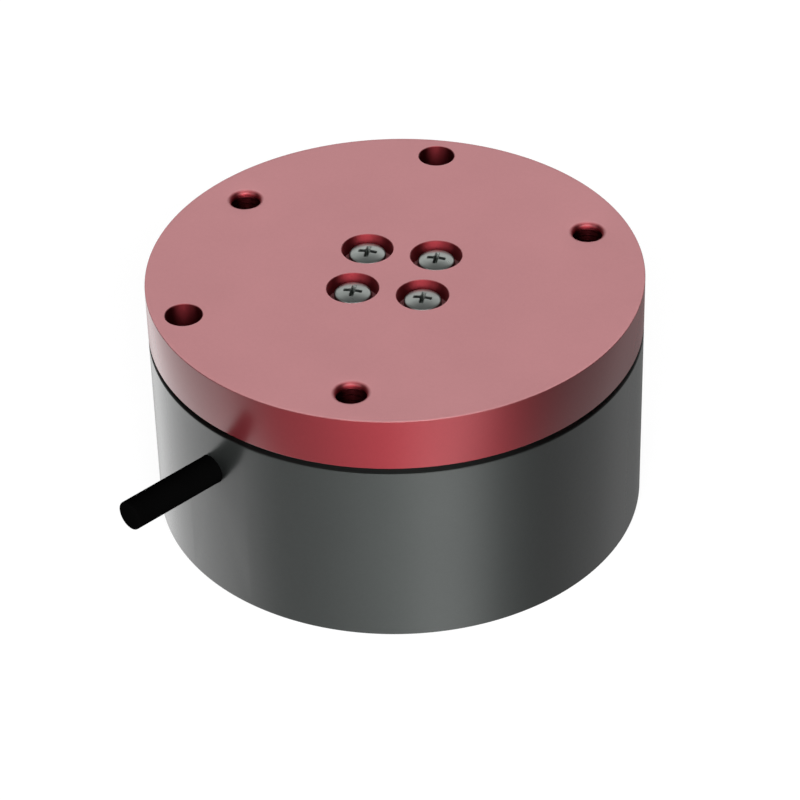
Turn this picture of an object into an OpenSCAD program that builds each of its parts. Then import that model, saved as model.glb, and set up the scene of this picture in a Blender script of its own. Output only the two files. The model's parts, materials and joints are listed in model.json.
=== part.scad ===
// Six-axis force and torque sensor, 80 mm across and 42 mm high.
// A tool flange stands on the hub post of a cross-beam sensing element. The element's ring is
// screwed up into a turned housing, and an amplifier board rings the post in the chamber above.
// Origin: centre of the base. +Z points to the tool. Units: millimetres.

/* [Envelope] */
// Diameter of the housing and of the tool flange
body_d = 80; // [79:0.5:84]
// Height of the housing
housing_h = 32; // [32:0.5:36]
// Open gap between the housing and the tool flange
gap_h = 1; // [0.6:0.1:1.6]
// Thickness of the tool flange
flange_t = 9; // [8.5:0.5:12]
// Chamfer on the outer edges
edge_break = 0.2; // [0.1:0.05:0.5]

/* [Tool and base interface] */
// Circle of the three tapped holes in the tool face
tool_tap_pcd = 66; // [65.5:0.5:67]
// Circle of the four tapped holes in the base
base_tap_pcd = 68; // [67:0.5:69]
// Tap drill of the tapped holes
tap_drill_d = 5; // [4.2:0.1:5.2]
// Mouth of the countersink on a tapped hole
tap_mouth_d = 6.3; // [5.8:0.1:6.4]
// Full-diameter depth of a tapped hole
tap_depth = 6.5; // [5:0.5:6.5]
// Circle of the two dowel holes on either side
dowel_pcd = 70; // [69:0.5:71]
// Diameter of a dowel hole
dowel_d = 6; // [4:0.5:6]
// Depth of a dowel hole
dowel_depth = 6; // [5:0.5:7]

/* [Hub joint] */
// Diameter of the hub post
hub_d = 22; // [21.5:0.1:22.4]
// Depth of the seat that centres the flange on the post
hub_seat_depth = 1.5; // [1:0.1:2]
// Circle of the four hub screws
hub_screw_pcd = 16; // [15:0.5:16.5]
// Diameter of the counterbore over a hub screw
counterbore_d = 8.4; // [7:0.1:9]
// Depth of that counterbore
counterbore_depth = 2.8; // [2.5:0.1:3.4]
// Shank length of a hub screw
hub_screw_l = 12; // [10:1:14]

/* [Sensing element] */
// Outer diameter of the fixed ring
ring_d = 55.8; // [55:0.1:55.9]
// Height of the fixed ring
ring_h = 12; // [11.5:0.1:12]
// Inner diameter of the fixed ring
ring_bore_d = 40; // [39:0.5:40]
// Diameter over the hub between the windows
window_hub_d = 22.8; // [22.8:0.1:24]
// Width of a beam
beam_w = 8; // [6:0.5:9]
// Height of a beam
beam_h = 6; // [5:0.5:8]
// Thickness of the flexure web at a beam's end
web_t = 0.9; // [0.6:0.1:1.1]
// Width of the slot behind a web
slot_w = 1.6; // [1.2:0.1:1.8]
// Half of the angle that a slot spans
slot_half_angle = 19; // [16:1:20]
// Corner radius of the windows between the beams
window_r = 1.5; // [1:0.1:2]

/* [Covers] */
// Thickness of the bottom cover
bottom_cover_t = 2; // [1.8:0.1:2.2]
// Thickness of the top cover
top_cover_t = 1.6; // [1.6:0.1:1.8]
// Thickness of both gaskets
gasket_t = 0.4; // [0.3:0.1:0.5]

/* [Circuit board] */
// Diameter of the board
board_d = 61; // [60:0.5:61.5]
// Hole in the board for the hub post
board_bore_d = 28; // [27:0.5:29]
// Thickness of the board
board_t = 1.6; // [1:0.2:1.6]
// Height of the standoffs
standoff_h = 3; // [2.5:0.1:3.2]

/* [Cable] */
// Diameter of the cable's jacket
cable_d = 4.8; // [4.4:0.1:5]
// Direction in which the cable leaves, round the axis
cable_angle = 235; // [232:1:238]
// Height of the cable's axis
cable_z = 24; // [23.8:0.1:24.4]
// Length of jacket that stands out of the housing
cable_out = 16.8; // [10:0.2:30]
// Number of conductors in the cable
conductor_count = 6; // [4:1:6]

/* [Hidden] */
$fn = 96;
eps = 0.01;
body_r = body_d / 2;
flange_z = housing_h + gap_h;
top_z = flange_z + flange_t;
tool_tap_angles = [30, 150, 270];
tool_dowel_angles = [90, 210];
drill_point_angle = 31;
beam_angles = [0, 90, 180, 270];
diagonals = [45, 135, 225, 315];
base_dowel_angles = [0, 180];

// Vertical stack inside the housing
cover_inset = 0.2;
ring_z = cover_inset + bottom_cover_t + gasket_t;
shoulder_z = ring_z + ring_h;
shoulder_top_z = 20;
beam_z = ring_z + (ring_h - beam_h) / 2;
hub_bottom_z = ring_z + 1.6;
hub_top_z = flange_z + hub_seat_depth;
hub_screw_end_z = top_z - counterbore_depth - hub_screw_l;
relief_r = ring_bore_d / 2 - 0.4;
top_recess_z = housing_h - top_cover_t - gasket_t;
board_z = shoulder_top_z + standoff_h;
board_top_z = board_z + board_t;

// Radii of the housing's bores
ring_fit_r = ring_d / 2 + 0.05;
bottom_recess_r = 29.4;
shoulder_r = 20.5;
chamber_r = 31.5;
top_recess_r = 36.6;
cover_clearance = 0.1;
cover_edge = 0.2;
bottom_gasket_r = ring_bore_d / 2 + 3.6;
hub_seat_d = hub_d + 0.04;
dust_seal_r = 15.6;
dust_seal_w = 2.4;
board_bore_r = board_bore_d / 2;
top_cover_bore_d = 25;

// Fasteners: M2.5 and M3
m25_r = 1.25;
m3_r = 1.5;
m3_clearance_r = 1.7;
pan_head_r = 3;
pan_head_h = 2.4;
socket_head_r = 2.75;
socket_head_h = 3;
socket_head_edge = 0.3;
socket_key_d = 2.9;
socket_key_depth = 1.5;
sunk_head_r = 2.4;
sunk_head_h = 1.35;
sunk_recess_depth = 1;
element_screw_r = 24.2;
element_screw_spread = 13;
element_screw_l = 14;
element_counterbore = 3.2;
element_counterbore_r = socket_head_r + 0.15;
cover_screw_r = 24.2;
cover_thread_l = 5;
bottom_cover_screw_l = 6;
top_cover_screw_r = 33.7;
top_cover_screw_angles = [25, 85, 145, 205, 265, 325];
top_cover_screw_l = 6;
top_cover_thread_end = 0.6;
standoff_r = 26;
standoff_thread_l = 4;
standoff_stud_l = 3.5;
standoff_d = 5.2;
standoff_floor = 0.6;
board_screw_r = 2.3;
board_screw_h = 1.6;
pin_r = 1.5;
hub_pin_l = 7;
hub_pin_z = hub_top_z - 4;
hub_pin_angles = [0, 180];
element_pin_l = 7;
element_pin_angles = [45, 225];

// Gauges, their solder strips and the flexible leads, along each beam
gauge_start = 12.2;
gauge_l = 3.4;
gauge_w = 4;
gauge_t = 0.15;
terminal_start = 15.9;
terminal_l = 1;
terminal_t = 0.3;
terminal_count = 4;
solder_r = 0.3;
solder_h = 0.6;
flex_start = 17.1;
flex_w = 5;
flex_t = 0.25;
flex_bend_r = 1;
flex_x = 18.9;
socket_t = 2.8;
socket_w = flex_w + 1.6;
socket_h = 1.6;

// Cable entry and clamp, measured outwards along the cable's axis
cable_r = cable_d / 2;
jacket_start = 25;
jacket_end = body_r + cable_out;
jacket_edge = 0.3;
clamp_start = 26.5;
clamp_l = 3.6;
clamp_foot_h = 2;
clamp_foot_w = 14;
clamp_saddle_r = cable_r + 1;
clamp_screw_y = 5;
clamp_screw_l = 5;
clamp_thread_l = 3.4;
clamp_head_r = 1.5;
clamp_head_h = 1.4;
entry_start = chamber_r - 2;
grommet_r = 3.7;
grommet_start = 31.2;
grommet_end = 37;
cable_hole_r = cable_r + 0.05;
notch_w = 17;
notch_start = 20.5;

// Plug and header, seen along the radius at their own angle
plug_angle = 200;
plug_radius = 22.4;
plug_w = 8.4;
plug_d = 6;
plug_h = 3.6;
plug_hole_r = 0.35;
plug_hole_l = 1;
header_wall = 0.6;
header_back = 4;
header_front = 1;
conductor_r = 0.3;
conductor_bundle_r = 1.5;
conductor_pitch = 1.3;
conductor_reach = 3;
conductor_colors = ["#B03030", "#202020", "#2F7D3B", "#D8D8D8", "#C9A227", "#2B5FA8"];

// Parts on the board: [width, length, height, legs on a side]
processor = [7, 7, 1.4, 8];
amplifier = [3.9, 4.9, 1.5, 4];
converter = [4.4, 5, 1.2, 6];
capacitor = [1.2, 2, 0.9];
leg_w = 0.3;
leg_l = 0.8;
leg_t = 0.2;
amplifier_angles = [112, 135, 158, 292, 315, 338];
capacitor_angles = [for (a = [18 : 22 : 172]) a, for (a = [282 : 16 : 346]) a];
crystal_r = 1.1;
crystal_w = 3.2;
crystal_h = 1.6;

// ---- Shared shapes ----

// Copies of the children at the given angles, at one radius, turned to face outwards.
module around(angles, radius = 0) {
    for (a = angles)
        rotate([0, 0, a])
            translate([radius, 0, 0])
                children();
}

// A ring with square edges, from z = 0 up.
module ring(outer_r, inner_r, h) {
    difference() {
        cylinder(r = outer_r, h = h);
        translate([0, 0, -eps])
            cylinder(r = inner_r, h = h + 2 * eps);
    }
}

// A turned disc or ring with both outer edges chamfered, from z = 0 up.
module turned_blank(outer_r, h, chamfer) {
    rotate_extrude()
        polygon([
            [0, 0], [outer_r - chamfer, 0], [outer_r, chamfer],
            [outer_r, h - chamfer], [outer_r - chamfer, h], [0, h]
        ]);
}

// A tapped hole sunk from z = 0 downwards: countersunk mouth, drilled bore and drill point. The
// countersink runs on above z = 0, so that it cuts the face cleanly.
module tapped_hole() {
    sink = (tap_mouth_d - tap_drill_d) / 2;
    point = tap_drill_d / 2 * tan(drill_point_angle);
    translate([0, 0, -tap_depth])
        cylinder(d = tap_drill_d, h = tap_depth + eps);
    translate([0, 0, -sink])
        cylinder(d1 = tap_drill_d, d2 = 2 * tap_mouth_d - tap_drill_d, h = 2 * sink);
    translate([0, 0, -tap_depth - point])
        cylinder(d1 = 0, d2 = tap_drill_d, h = point);
}

// The tapped holes and dowel holes of one interface, sunk from z = 0 downwards.
module interface_holes(tap_angles, tap_pcd, dowel_angles) {
    around(tap_angles, tap_pcd / 2)
        tapped_hole();
    around(dowel_angles, dowel_pcd / 2)
        translate([0, 0, -dowel_depth])
            cylinder(d = dowel_d, h = dowel_depth + 1);
}

// Cross recess cut down from z = 0: four wings whose ends and walls taper to a point.
module cross_recess(width, depth) {
    wing = 0.26 * width;
    intersection() {
        translate([0, 0, -depth])
            cylinder(r1 = wing * 0.75, r2 = width / 2, h = depth + eps);
        for (a = [0, 90])
            rotate([0, 0, a])
                cube([width, wing, 3 * depth], center = true);
    }
}

// Cheese-sided pan head screw with a domed, cross-recessed head. The head bears at z = 0.
module pan_screw(head_r, head_h, shank_r, shank_l) {
    dome_r = head_r * 1.667;
    recess_depth = head_h * 0.65;
    difference() {
        rotate_extrude()
            intersection() {
                square([head_r, head_h]);
                translate([0, head_h - dome_r])
                    circle(r = dome_r);
            }
        translate([0, 0, head_h])
            cross_recess(head_r, recess_depth);
    }
    translate([0, 0, -shank_l])
        cylinder(r = shank_r, h = shank_l);
}

// Socket head cap screw. The head bears at z = 0 and the shank hangs below.
module socket_screw(shank_l) {
    difference() {
        rotate_extrude()
            polygon([
                [0, 0], [socket_head_r, 0], [socket_head_r, socket_head_h - socket_head_edge],
                [socket_head_r - socket_head_edge, socket_head_h], [0, socket_head_h]
            ]);
        translate([0, 0, socket_head_h - socket_key_depth])
            cylinder(d = socket_key_d, h = socket_key_depth + eps, $fn = 6);
    }
    translate([0, 0, -shank_l])
        cylinder(r = m3_r, h = shank_l);
}

// Countersunk screw, its flat top at z = 0 and its shank hanging below.
module sunk_screw(length) {
    difference() {
        union() {
            translate([0, 0, -sunk_head_h])
                cylinder(r1 = m25_r, r2 = sunk_head_r, h = sunk_head_h);
            translate([0, 0, -length])
                cylinder(r = m25_r, h = length);
        }
        cross_recess(sunk_head_r, sunk_recess_depth);
    }
}

// Hole for that screw, from z = 0 down through the cover. Its cone runs on above z = 0.
module sunk_hole(depth) {
    translate([0, 0, -sunk_head_h])
        cylinder(r1 = m25_r, r2 = 2 * sunk_head_r - m25_r, h = 2 * sunk_head_h);
    translate([0, 0, -depth])
        cylinder(r = m25_r, h = depth);
}

// ---- Tool side ----

module hub_screw_positions() {
    around(diagonals, hub_screw_pcd / 2)
        children();
}

// Round plate that the tool bolts to: tapped and dowel holes above, seat for the hub post below.
module tool_flange() {
    color("#B5565C")
        difference() {
            translate([0, 0, flange_z])
                turned_blank(body_r, flange_t, edge_break);
            translate([0, 0, top_z])
                interface_holes(tool_tap_angles, tool_tap_pcd, tool_dowel_angles);
            hub_screw_positions() {
                translate([0, 0, top_z - counterbore_depth])
                    cylinder(d = counterbore_d, h = counterbore_depth + 1);
                translate([0, 0, flange_z])
                    cylinder(r = m3_clearance_r, h = flange_t);
            }
            translate([0, 0, flange_z - 1])
                cylinder(d = hub_seat_d, h = hub_seat_depth + 1);
            around(hub_pin_angles, hub_screw_pcd / 2)
                translate([0, 0, hub_pin_z])
                    cylinder(r = pin_r, h = hub_pin_l);
        }
}

module flange_screws() {
    color("#B9BDB6")
        hub_screw_positions()
            translate([0, 0, top_z - counterbore_depth])
                rotate([0, 0, -45])
                    pan_screw(pan_head_r, pan_head_h, m3_r, hub_screw_l);
}

// Dowels that keep the flange from turning on the post.
module hub_pins() {
    color("#A8A9AD")
        around(hub_pin_angles, hub_screw_pcd / 2)
            translate([0, 0, hub_pin_z])
                cylinder(r = pin_r, h = hub_pin_l);
}

// Soft ring that closes the gap round the post.
module dust_seal() {
    color("#1A1A1A")
        translate([0, 0, housing_h])
            ring(dust_seal_r, dust_seal_r - dust_seal_w, gap_h);
}

// ---- Sensing element ----

// Angles of the eight screws that hold the ring, two beside each diagonal.
element_screw_angles = [for (d = diagonals, s = [-1, 1]) d + s * element_screw_spread];

// One window between two beams, as a flat outline in the first quadrant.
module window_outline() {
    offset(r = window_r, $fn = 48)
        offset(delta = -window_r)
            difference() {
                intersection() {
                    circle(d = ring_bore_d);
                    translate([beam_w / 2, beam_w / 2])
                        square(ring_bore_d);
                }
                circle(d = window_hub_d);
            }
}

// Curved slot with round ends behind a beam, which leaves the thin flexure web.
module web_slot() {
    inner = ring_bore_d / 2 + web_t;
    translate([0, 0, ring_z - 1]) {
        rotate([0, 0, -slot_half_angle])
            rotate_extrude(angle = 2 * slot_half_angle)
                translate([inner, 0])
                    square([slot_w, ring_h + 2]);
        around([-slot_half_angle, slot_half_angle], inner + slot_w / 2)
            cylinder(d = slot_w, h = ring_h + 2);
    }
}

// Pockets turned over and under the beams, and the clearance under the hub.
module beam_reliefs() {
    translate([0, 0, beam_z + beam_h])
        ring(relief_r, hub_d / 2, ring_h);
    translate([0, 0, ring_z - 1])
        ring(relief_r, hub_d / 2, beam_z - ring_z + 1);
    translate([0, 0, ring_z - 1])
        cylinder(r = relief_r, h = hub_bottom_z - ring_z + 1);
}

// Spring body milled from one block: a fixed ring, four square beams that end in thin webs, and
// the hub post that carries the tool flange.
module sensing_element() {
    color("#C9CCCE")
        difference() {
            union() {
                translate([0, 0, ring_z])
                    cylinder(d = ring_d, h = ring_h);
                translate([0, 0, ring_z])
                    cylinder(d = hub_d, h = hub_top_z - ring_z);
            }
            beam_reliefs();
            for (a = beam_angles)
                rotate([0, 0, a])
                    translate([0, 0, ring_z - 1])
                        linear_extrude(ring_h + 2)
                            window_outline();
            around(beam_angles)
                web_slot();
            // Screws up into the housing's shoulder
            around(element_screw_angles, element_screw_r)
                translate([0, 0, ring_z - 1]) {
                    cylinder(r = m3_clearance_r, h = ring_h + 2);
                    cylinder(r = element_counterbore_r, h = element_counterbore + 1);
                }
            // Threads for the bottom cover, and holes for the locating pins above them
            around(diagonals, cover_screw_r)
                translate([0, 0, ring_z - 1])
                    cylinder(r = m25_r, h = cover_thread_l + 1);
            around(element_pin_angles, element_screw_r)
                translate([0, 0, shoulder_z - element_pin_l / 2])
                    cylinder(r = pin_r, h = element_pin_l);
            // Threads and pin holes in the top of the post
            hub_screw_positions()
                translate([0, 0, hub_screw_end_z - 1])
                    cylinder(r = m3_r, h = hub_screw_l + 1);
            around(hub_pin_angles, hub_screw_pcd / 2)
                translate([0, 0, hub_pin_z])
                    cylinder(r = pin_r, h = hub_pin_l);
        }
}

// A foil patch centred on the beam that points along +X, lying on the XY plane.
module gauge_patch(h) {
    translate([gauge_start, -gauge_w / 2, 0])
        cube([gauge_l, gauge_w, h]);
}

// Foil gauges on all four sides of each beam, beside the hub.
module strain_gauges() {
    color("#C98A3C")
        around(beam_angles) {
            translate([0, 0, beam_z + beam_h])
                gauge_patch(gauge_t);
            translate([0, 0, beam_z - gauge_t])
                gauge_patch(gauge_t);
            for (side = [-1, 1])
                translate([0, side * (beam_w + gauge_t) / 2, beam_z + beam_h / 2])
                    rotate([90, 0, 0])
                        translate([0, 0, -gauge_t / 2])
                            gauge_patch(gauge_t);
        }
}

// Solder strips between the gauges and the flexible leads.
module gauge_terminals() {
    color("#D9C27A")
        around(beam_angles)
            translate([terminal_start, -gauge_w / 2, beam_z + beam_h]) {
                cube([terminal_l, gauge_w, terminal_t]);
                for (i = [0 : terminal_count - 1])
                    translate([terminal_l / 2, gauge_w * (i + 0.5) / terminal_count, 0])
                        cylinder(r = solder_r, h = solder_h, $fn = 16);
            }
}

// Flexible printed leads: flat along the beam, a round bend, then straight up to the board.
module flex_leads() {
    flat_l = flex_x - flex_bend_r - flex_start;
    rise = board_z - socket_h - beam_z - beam_h - flex_bend_r;
    color("#B4642A")
        around(beam_angles)
            translate([0, flex_w / 2, beam_z + beam_h])
                rotate([90, 0, 0])
                    linear_extrude(flex_w) {
                        translate([flex_start, 0])
                            square([flat_l, flex_t]);
                        translate([flex_x - flex_bend_r, flex_bend_r])
                            intersection() {
                                difference() {
                                    circle(r = flex_bend_r);
                                    circle(r = flex_bend_r - flex_t);
                                }
                                translate([0, -flex_bend_r])
                                    square(flex_bend_r);
                            }
                        translate([flex_x - flex_t, flex_bend_r])
                            square([flex_t, rise]);
                    }
}

// Sockets under the board that take the flexible leads.
module flex_sockets() {
    color("#E8E2D0")
        around(beam_angles)
            translate([flex_x - (flex_t + socket_t) / 2, -socket_w / 2, board_z - socket_h])
                cube([socket_t, socket_w, socket_h]);
}

// Cap screws that pull the ring up against the shoulder.
module element_screws() {
    color("#4A4B4D")
        around(element_screw_angles, element_screw_r)
            translate([0, 0, ring_z + element_counterbore])
                rotate([180, 0, 0])
                    socket_screw(element_screw_l);
}

// Dowels that locate the ring on the shoulder.
module element_pins() {
    color("#A8A9AD")
        around(element_pin_angles, element_screw_r)
            translate([0, 0, shoulder_z - element_pin_l / 2])
                cylinder(r = pin_r, h = element_pin_l);
}

// ---- Housing and covers ----

// Half section of the housing, turned round the axis.
module housing_section() {
    polygon([
        [bottom_recess_r, 0], [body_r - edge_break, 0], [body_r, edge_break],
        [body_r, housing_h - edge_break], [body_r - edge_break, housing_h],
        [top_recess_r, housing_h], [top_recess_r, top_recess_z], [chamber_r, top_recess_z],
        [chamber_r, shoulder_top_z], [shoulder_r, shoulder_top_z], [shoulder_r, shoulder_z],
        [ring_fit_r, shoulder_z], [ring_fit_r, ring_z], [bottom_recess_r, ring_z]
    ]);
}

// Places the children on the cable's axis, with +Z pointing out of the housing.
module along_cable() {
    translate([0, 0, cable_z])
        rotate([0, 90, cable_angle])
            children();
}

// Places the children beside the cable on the shoulder, with +X outwards and +Z up.
module at_clamp() {
    rotate([0, 0, cable_angle])
        translate([clamp_start, 0, shoulder_top_z])
            children();
}

module housing() {
    color("#4C504F")
        difference() {
            rotate_extrude()
                housing_section();
            mirror([0, 0, 1])
                interface_holes(diagonals, base_tap_pcd, base_dowel_angles);
            // Cable entry, bored out from inside for the grommet
            along_cable() {
                translate([0, 0, entry_start])
                    cylinder(r = cable_hole_r, h = body_r);
                translate([0, 0, entry_start])
                    cylinder(r = grommet_r, h = grommet_end - entry_start);
            }
            // Threads and pin holes in the shoulder
            around(element_screw_angles, element_screw_r)
                translate([0, 0, shoulder_z - 1])
                    cylinder(r = m3_r, h = shoulder_top_z - shoulder_z + 2);
            around(element_pin_angles, element_screw_r)
                translate([0, 0, shoulder_z - 1])
                    cylinder(r = pin_r, h = element_pin_l / 2 + 1);
            around(beam_angles, standoff_r)
                translate([0, 0, shoulder_top_z - standoff_thread_l])
                    cylinder(r = m25_r, h = standoff_thread_l + 1);
            at_clamp()
                for (y = [-1, 1] * clamp_screw_y)
                    translate([clamp_l / 2, y, -clamp_thread_l])
                        cylinder(r = m25_r, h = clamp_thread_l + 1);
            // Threads under the top cover
            around(top_cover_screw_angles, top_cover_screw_r)
                translate([0, 0, housing_h - top_cover_screw_l - top_cover_thread_end])
                    cylinder(r = m25_r, h = top_cover_screw_l);
        }
}

// Disc that closes the base, sunk a little below the mounting face.
module bottom_cover() {
    color("#3A3D3D")
        difference() {
            translate([0, 0, cover_inset])
                turned_blank(bottom_recess_r - cover_clearance, bottom_cover_t, cover_edge);
            around(diagonals, cover_screw_r)
                translate([0, 0, cover_inset])
                    mirror([0, 0, 1])
                        sunk_hole(bottom_cover_t + 1);
        }
}

module bottom_gasket() {
    color("#202020")
        translate([0, 0, ring_z - gasket_t])
            difference() {
                ring(bottom_recess_r - cover_clearance, bottom_gasket_r, gasket_t);
                around(diagonals, cover_screw_r)
                    translate([0, 0, -eps])
                        cylinder(r = m25_r, h = gasket_t + 2 * eps);
            }
}

module bottom_cover_screws() {
    color("#4A4B4D")
        around(diagonals, cover_screw_r)
            translate([0, 0, cover_inset])
                rotate([180, 0, 0])
                    sunk_screw(bottom_cover_screw_l);
}

// Ring that closes the chamber under the gap and leaves the post free.
module top_cover() {
    color("#3A3D3D")
        difference() {
            translate([0, 0, housing_h - top_cover_t])
                difference() {
                    turned_blank(top_recess_r - cover_clearance, top_cover_t, cover_edge);
                    translate([0, 0, -eps])
                        cylinder(d = top_cover_bore_d, h = top_cover_t + 2 * eps);
                }
            around(top_cover_screw_angles, top_cover_screw_r)
                translate([0, 0, housing_h])
                    sunk_hole(top_cover_t + 1);
        }
}

module top_gasket() {
    color("#202020")
        translate([0, 0, top_recess_z])
            difference() {
                ring(top_recess_r - cover_clearance, chamber_r, gasket_t);
                around(top_cover_screw_angles, top_cover_screw_r)
                    translate([0, 0, -eps])
                        cylinder(r = m25_r, h = gasket_t + 2 * eps);
            }
}

module top_cover_screws() {
    color("#4A4B4D")
        around(top_cover_screw_angles, top_cover_screw_r)
            translate([0, 0, housing_h])
                sunk_screw(top_cover_screw_l);
}

// ---- Circuit board ----

// Annular board, notched where the cable and its clamp come in.
module circuit_board() {
    color("#1F6B46")
        difference() {
            translate([0, 0, board_z])
                ring(board_d / 2, board_bore_r, board_t);
            rotate([0, 0, cable_angle])
                translate([notch_start, -notch_w / 2, board_z - 1])
                    cube([body_r, notch_w, board_t + 2]);
            around(beam_angles, standoff_r)
                translate([0, 0, board_z - 1])
                    cylinder(r = m25_r, h = board_t + 2);
        }
}

// Hexagonal standoffs, each with a stud below and a thread above.
module board_standoffs() {
    color("#C8A951")
        around(beam_angles, standoff_r) {
            translate([0, 0, shoulder_top_z - standoff_stud_l])
                cylinder(r = m25_r, h = standoff_stud_l + eps);
            translate([0, 0, shoulder_top_z])
                difference() {
                    cylinder(d = standoff_d, h = standoff_h, $fn = 6);
                    translate([0, 0, standoff_floor])
                        cylinder(r = m25_r, h = standoff_h);
                }
        }
}

module board_screws() {
    shank_l = board_t + standoff_h - standoff_floor - 0.2;
    color("#A8A9AD")
        around(beam_angles, standoff_r)
            translate([0, 0, board_top_z])
                pan_screw(board_screw_r, board_screw_h, m25_r, shank_l);
}

// Packaged circuit on the board: a moulded body and gull-wing legs along two or four sides.
module chip(kind, sides = [0, 180]) {
    w = kind[0];
    l = kind[1];
    h = kind[2];
    legs = kind[3];
    foot = 0.3;
    translate([-w / 2, -l / 2, leg_t / 2])
        cube([w, l, h - leg_t / 2]);
    for (side = sides) {
        reach = side % 180 == 0 ? l : w;
        span = side % 180 == 0 ? w : l;
        rotate([0, 0, side])
            for (i = [0 : legs - 1])
                translate([span * ((i + 0.5) / legs - 0.5) - leg_w / 2, reach / 2 - foot, 0]) {
                    translate([0, 2 * foot, 0])
                        cube([leg_w, leg_l, leg_t]);
                    translate([0, 0, (h - leg_t) / 2])
                        cube([leg_w, leg_l, leg_t]);
                    translate([0, 2 * foot, 0])
                        cube([leg_w, leg_t, (h + leg_t) / 2]);
                }
    }
}

// Copies of the children on the board's top at the given angles and radius.
module on_board(angles, radius) {
    translate([0, 0, board_top_z])
        around(angles, radius)
            children();
}

module processor_chip() {
    color("#26282A")
        on_board([70], 22.4)
            chip(processor, [0, 90, 180, 270]);
}

module amplifier_chips() {
    color("#26282A")
        on_board(amplifier_angles, 22)
            chip(amplifier);
}

module converter_chips() {
    color("#303336")
        on_board([30], 21.5)
            chip(converter);
    color("#303336")
        on_board([270], 18.6)
            chip(converter);
}

module chip_capacitors() {
    color("#B79A6B")
        on_board(capacitor_angles, 28.2)
            translate([-capacitor[0] / 2, -capacitor[1] / 2, 0])
                cube(capacitor);
}

// Metal-can crystal with rounded ends.
module clock_crystal() {
    color("#C5C8CB")
        on_board([51], 27.4)
            hull()
                for (y = [-1, 1] * crystal_w / 2)
                    translate([0, y, 0])
                        cylinder(r = crystal_r, h = crystal_h, $fn = 32);
}

// ---- Cable ----

// Places the children at the plug, with +X outwards, +Y towards the cable and +Z up.
module at_plug() {
    rotate([0, 0, plug_angle])
        translate([plug_radius, 0, board_top_z])
            children();
}

// Board header: a shroud open towards the plug.
module cable_header() {
    outer_w = plug_w + 2 * header_wall;
    color("#E8E2D0")
        at_plug()
            difference() {
                translate([-outer_w / 2, -header_back, 0])
                    cube([outer_w, header_back + header_front, plug_h + header_wall]);
                translate([-plug_w / 2, -plug_d / 2, -eps])
                    cube([plug_w, plug_d, plug_h + eps]);
            }
}

module cable_plug() {
    color("#F2EEE2")
        at_plug()
            difference() {
                translate([-plug_w / 2, -plug_d / 2, 0])
                    cube([plug_w, plug_d, plug_h]);
                for (i = [0 : conductor_count - 1])
                    translate([plug_x(i), 1 - plug_d / 2, plug_h / 2])
                        rotate([90, 0, 0])
                            cylinder(r = plug_hole_r, h = plug_hole_l + 1, $fn = 16);
            }
}

// Where each conductor sits round the bundle, and its place in the plug's row. The key sorts the
// bundle from one side to the other, so that no two conductors cross.
function conductor_angle(i) = 360 * (i + 0.5) / conductor_count;
function conductor_key(i) = sin(conductor_angle(i)) + 0.01 * cos(conductor_angle(i));
function conductor_rank(i) =
    len([for (j = [0 : conductor_count - 1]) if (conductor_key(j) > conductor_key(i)) j]);
function plug_x(place) = (place - (conductor_count - 1) / 2) * conductor_pitch;

// A point given in the plug's own frame, in the sensor's frame.
function from_plug(p) = [
    (plug_radius + p[0]) * cos(plug_angle) - p[1] * sin(plug_angle),
    (plug_radius + p[0]) * sin(plug_angle) + p[1] * cos(plug_angle),
    board_top_z + p[2]
];

// A point given as [along, across, up] on the cable's axis, in the sensor's frame.
function from_cable(p) = [
    p[0] * cos(cable_angle) - p[1] * sin(cable_angle),
    p[0] * sin(cable_angle) + p[1] * cos(cable_angle),
    cable_z + p[2]
];

function bezier(a, b, c, d, t) =
    a * pow(1 - t, 3) + b * 3 * t * pow(1 - t, 2) + c * 3 * t * t * (1 - t) + d * pow(t, 3);

function unit(v) = v / norm(v);

// Closed tube of the given radius along a list of points, its ends square to the first and last
// directions.
module tube_along(points, radius, first_dir, last_dir, sides = 8) {
    n = len(points);
    dirs = [
        for (i = [0 : n - 1])
            i == 0 ? unit(first_dir) : i == n - 1 ? unit(last_dir) : unit(points[i + 1] - points[i - 1])
    ];
    rings = [
        for (i = [0 : n - 1])
            let (side = unit(cross(dirs[i], [0, 0, 1])), up = cross(side, dirs[i]))
                for (k = [0 : sides - 1])
                    points[i] + radius * (cos(360 * k / sides) * side + sin(360 * k / sides) * up)
    ];
    walls = [
        for (i = [0 : n - 2], k = [0 : sides - 1])
            let (m = (k + 1) % sides, a = i * sides, b = a + sides)
                each [[a + k, a + m, b + m], [a + k, b + m, b + k]]
    ];
    caps = [
        [for (k = [sides - 1 : -1 : 0]) k],
        [for (k = [0 : sides - 1]) (n - 1) * sides + k]
    ];
    polyhedron(rings, concat(walls, caps));
}

// Insulated conductors that fan out from the jacket's inner end into the plug.
module conductors() {
    inward = from_cable([jacket_start - conductor_reach, 0, 0]) - from_cable([jacket_start, 0, 0]);
    back = from_plug([0, conductor_reach, 0]) - from_plug([0, 0, 0]);
    for (i = [0 : conductor_count - 1]) {
        angle = conductor_angle(i);
        offset_in_bundle = conductor_bundle_r * [0, sin(angle), cos(angle)];
        start = from_cable([jacket_start, 0, 0] + offset_in_bundle);
        end = from_plug([plug_x(conductor_rank(i)), plug_d / 2, plug_h / 2]);
        route = [for (t = [0 : 0.1 : 1]) bezier(start, start + inward, end + back, end, t)];
        color(conductor_colors[i])
            tube_along(route, conductor_r, inward, -back);
    }
}

// Jacketed cable: clamped inside, sealed in the wall, and cut square outside.
module cable() {
    length = jacket_end - jacket_start;
    color("#161616")
        along_cable()
            translate([0, 0, jacket_start])
                rotate_extrude()
                    polygon([
                        [0, 0], [cable_r, 0], [cable_r, length - jacket_edge],
                        [cable_r - jacket_edge, length], [0, length]
                    ]);
}

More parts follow.
